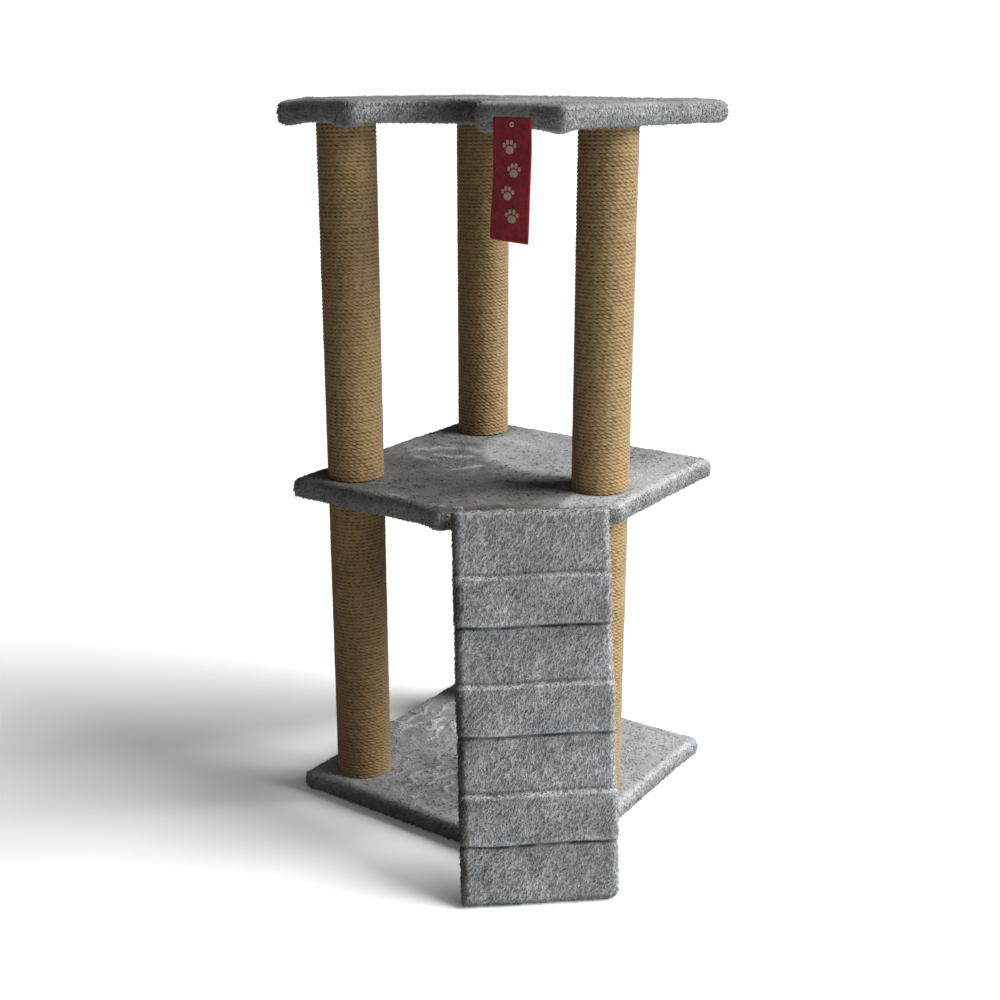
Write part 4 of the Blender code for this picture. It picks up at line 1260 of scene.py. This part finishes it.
def studio():
    """A wide pale floor, a broad soft lamp high on the right, and faint warm light from all round."""
    look = Finish("pale_floor", 0.9, specular=0.1)
    tree = look.tree
    pale = look.mixed(look.noise(look.here(), 30.0, 3.0), (0.95, 0.95, 0.95), (0.98, 0.98, 0.98))
    tree.links.new(pale, look.shader.inputs["Base Color"])
    look.shader.inputs["Emission Color"].default_value = WHITE
    look.shader.inputs["Emission Strength"].default_value = FLOOR_GLOW
    dull = look.add("BsdfDiffuse", {"Color": FLOOR_RETURN})
    tree.links.new(seen_and_lit(tree, dull, look.shader), tree.nodes["Material Output"].inputs["Surface"])
    x, y = np.meshgrid(*[np.linspace(-FLOOR_HALF, FLOOR_HALF, 41)] * 2)
    points = np.column_stack([x.ravel(), y.ravel(), np.full(x.size, cad_low.z - FLOOR_DROP)])
    grid = np.arange(x.size).reshape(x.shape)
    quads = np.stack([grid[:-1, :-1], grid[:-1, 1:], grid[1:, 1:], grid[1:, :-1]], axis=-1).reshape(-1, 4)
    new_piece("floor", points, quads_to_triangles(quads), look.material)

    world = bpy.data.worlds.new("studio")
    bpy.context.scene.world = world
    world.use_nodes = True
    sky = world.node_tree
    warm = add(sky, "Background", {"Color": WARM_LIGHT, "Strength": WARM_STRENGTH})
    white = add(sky, "Background", {"Color": WHITE, "Strength": WHITE_STRENGTH})
    sky.links.new(seen_and_lit(sky, warm, white), sky.nodes["World Output"].inputs["Surface"])

    for name, (kind, way, place, settings) in LAMPS.items():
        light = bpy.data.lights.new(name, kind)
        for key, value in settings.items():
            setattr(light, key, value)
        lamp = shown(name, light)
        lamp.location = place
        lamp.rotation_euler = Vector(way).to_track_quat("-Z", "Y").to_euler()
    bpy.context.scene.view_settings.view_transform = "Standard"


# ---- assembly ----
make_camera()
studio()

SLOT_OF = {row["node"]: row["material_slot"] for row in frame["record"]["subparts"]}
for node_name, node in frame["nodes"].items():
    if SLOT_OF[node_name] in FINISHES:
        node.material_slots[0].material = FINISHES[SLOT_OF[node_name]]

LABEL_LOW, LABEL_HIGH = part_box("tag")


def behind_label(places):
    near = (places[:, 0] > LABEL_LOW.x - 0.001) & (places[:, 0] < LABEL_HIGH.x + 0.001)
    return near & (places[:, 1] < -HALF_Y + 0.004)


def behind_hinge(places):
    """The middle board's slanting rim, where the hinge's plate lies."""
    cosine, sine = math.cos(CHAMFER_TURN), math.sin(CHAMFER_TURN)
    from_hinge = places - np.array(HINGE["pos_m"])
    across, outwards = from_hinge @ [cosine, sine, 0.0], from_hinge @ [sine, -cosine, 0.0]
    return (np.abs(across) < HINGE_ROOM[0]) & (outwards > -0.008)


def by_depth(places, low, start, end):
    """Smoothly from 0 to 1 as the depth under a board's top goes from start to end."""
    return smooth_step(start, end, low + DECK_T - places[:, 2])


def base_nap_and_painted_light(places):
    """Ruffled wisps behind the left post and before the middle, where hands last smoothed the nap; painted light
    to the right, painted shade down the rim.
    """
    flat = places * [1.0, 1.0, 0.0]
    where = bump_at(flat, (-0.19, 0.02, 0.0), (0.13, 0.11, 1.0))
    where = np.clip(1.8 * (where + bump_at(flat, (-0.04, -0.14, 0.0), (0.13, 0.12, 1.0))), 0.0, 1.0)
    curls = where * wisps(places, 0.026, 0.17, 151)
    # Painted light: lighter towards the right, where the lamp falls.
    right = smooth_step(0.0, 0.2, places[:, 0] + 0.3 * places[:, 1])
    tone = 0.50 * curls - 0.12 * where + 0.09 * soft_noise(places, 0.05, 155) + 0.02 + 0.12 * right
    # Painted shade: darker down the rim, below the top.
    return tone - 0.16 * by_depth(places, BASE_LOW.z, 0.004, 0.014), 1.6 * curls - 0.4 * where


MIDDLE_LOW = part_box("middle_plush_cover")[0].z
TOP_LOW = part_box("top_plush_cover")[0].z
MIDDLE_STROKES = [  # x, y at each end, width and strength
    (-0.141, -0.005, -0.086, 0.014, 0.0060, 0.50),
    (-0.067, -0.067, -0.041, -0.021, 0.0050, 0.60),
    (-0.187, 0.003, -0.147, 0.041, 0.0110, 0.45),
    (-0.170, -0.030, -0.120, -0.035, 0.0045, 0.30),
    (-0.115, 0.060, -0.095, 0.050, 0.0100, 0.35),
    (0.059, -0.217, 0.116, -0.224, 0.0030, 0.35),
    (0.016, -0.229, 0.055, -0.221, 0.0025, 0.25),
    (-0.062, -0.222, -0.040, -0.226, 0.0060, 0.35),
    (-0.095, 0.150, -0.040, 0.127, 0.0180, 0.20),
]
TONE_LINE = np.array(  # x and y along the line behind which the middle board's top is lighter
    [
        [-0.13, -0.095, -0.05, -0.007, 0.055, 0.116, 0.15, 0.19],
        [0.10, 0.057, 0.011, 0.003, -0.018, 0.008, 0.0, -0.20],
    ]
)


def middle_nap_and_painted_light(places):
    """The middle board's top: lighter behind a line between the posts, darker before it, swirled at the left,
    painted light at the right.
    """
    x, y = places[:, 0], places[:, 1]
    line = np.interp(x, *TONE_LINE) + 0.010 * soft_noise(places, 0.03, 251)
    light = smooth_step(-0.012, 0.020, y - line) * smooth_step(-0.15, -0.09, x)
    drawn = strokes(places, MIDDLE_STROKES, 255)
    on_top = 1.0 - by_depth(places, MIDDLE_LOW, 0.003, 0.012)
    # Painted light: lighter towards the right, where the lamp falls.
    lighter = 0.35 * light + 0.28 * smooth_step(0.10, 0.22, x) + drawn - 0.33
    return on_top * lighter - 0.07, 1.3 * drawn * on_top


def top_painted_light(places):
    """Painted shade in the climbing bay's shelter and on the top face, painted light on the right half, and darker
    all over.
    """
    bay = bump_at(places * [1.0, 1.0, 0.0], (0.03, -HALF_Y + NOTCH_R * 0.6, 0.0), (0.11, 0.09, 1.0))
    right = smooth_step(-0.25, 0.1, places[:, 0])
    upper = by_depth(places, TOP_LOW, 0.006, 0.001)
    # Painted light on the right; painted shade in the bay and on the top face.
    return 0.13 * right - 0.38 * bay - 0.15 - 0.20 * upper, np.zeros(len(places))


deck_cover("base", "square", 2.6, [], [], [], base_nap_and_painted_light, 100)
lumps = [((0.048, -0.238, 0.0), (0.040, 0.030, 0.030), 0.004)]
deck_cover("middle", "chamfered", 2.2, lumps, [], [behind_hinge], middle_nap_and_painted_light, 200)
lumps = [
    ((-0.118, -0.236, 0.0), (0.032, 0.030, 0.030), 0.007),
    ((0.121, -0.236, 0.0), (0.034, 0.030, 0.030), 0.007),
    ((0.233, -0.232, 0.0), (0.040, 0.040, 0.030), 0.004),
    ((-0.235, -0.232, 0.0), (0.036, 0.036, 0.030), 0.002),
]
sags = [
    ((-0.245, -0.240, 0.0), (0.060, 0.060, 1.0), 0.0034),
    ((0.245, 0.240, 0.0), (0.060, 0.060, 1.0), 0.0012),
]
deck_cover("top", "notched", 0.6, lumps, sags, [behind_label], top_painted_light, 300)
ramp_cover(400)
for side_seed, side in enumerate(SIDES):
    wound_rope(f"lower_{side}_post", 500 + side_seed)
    wound_rope(f"upper_{side}_post", 600 + side_seed)
hanging_label()
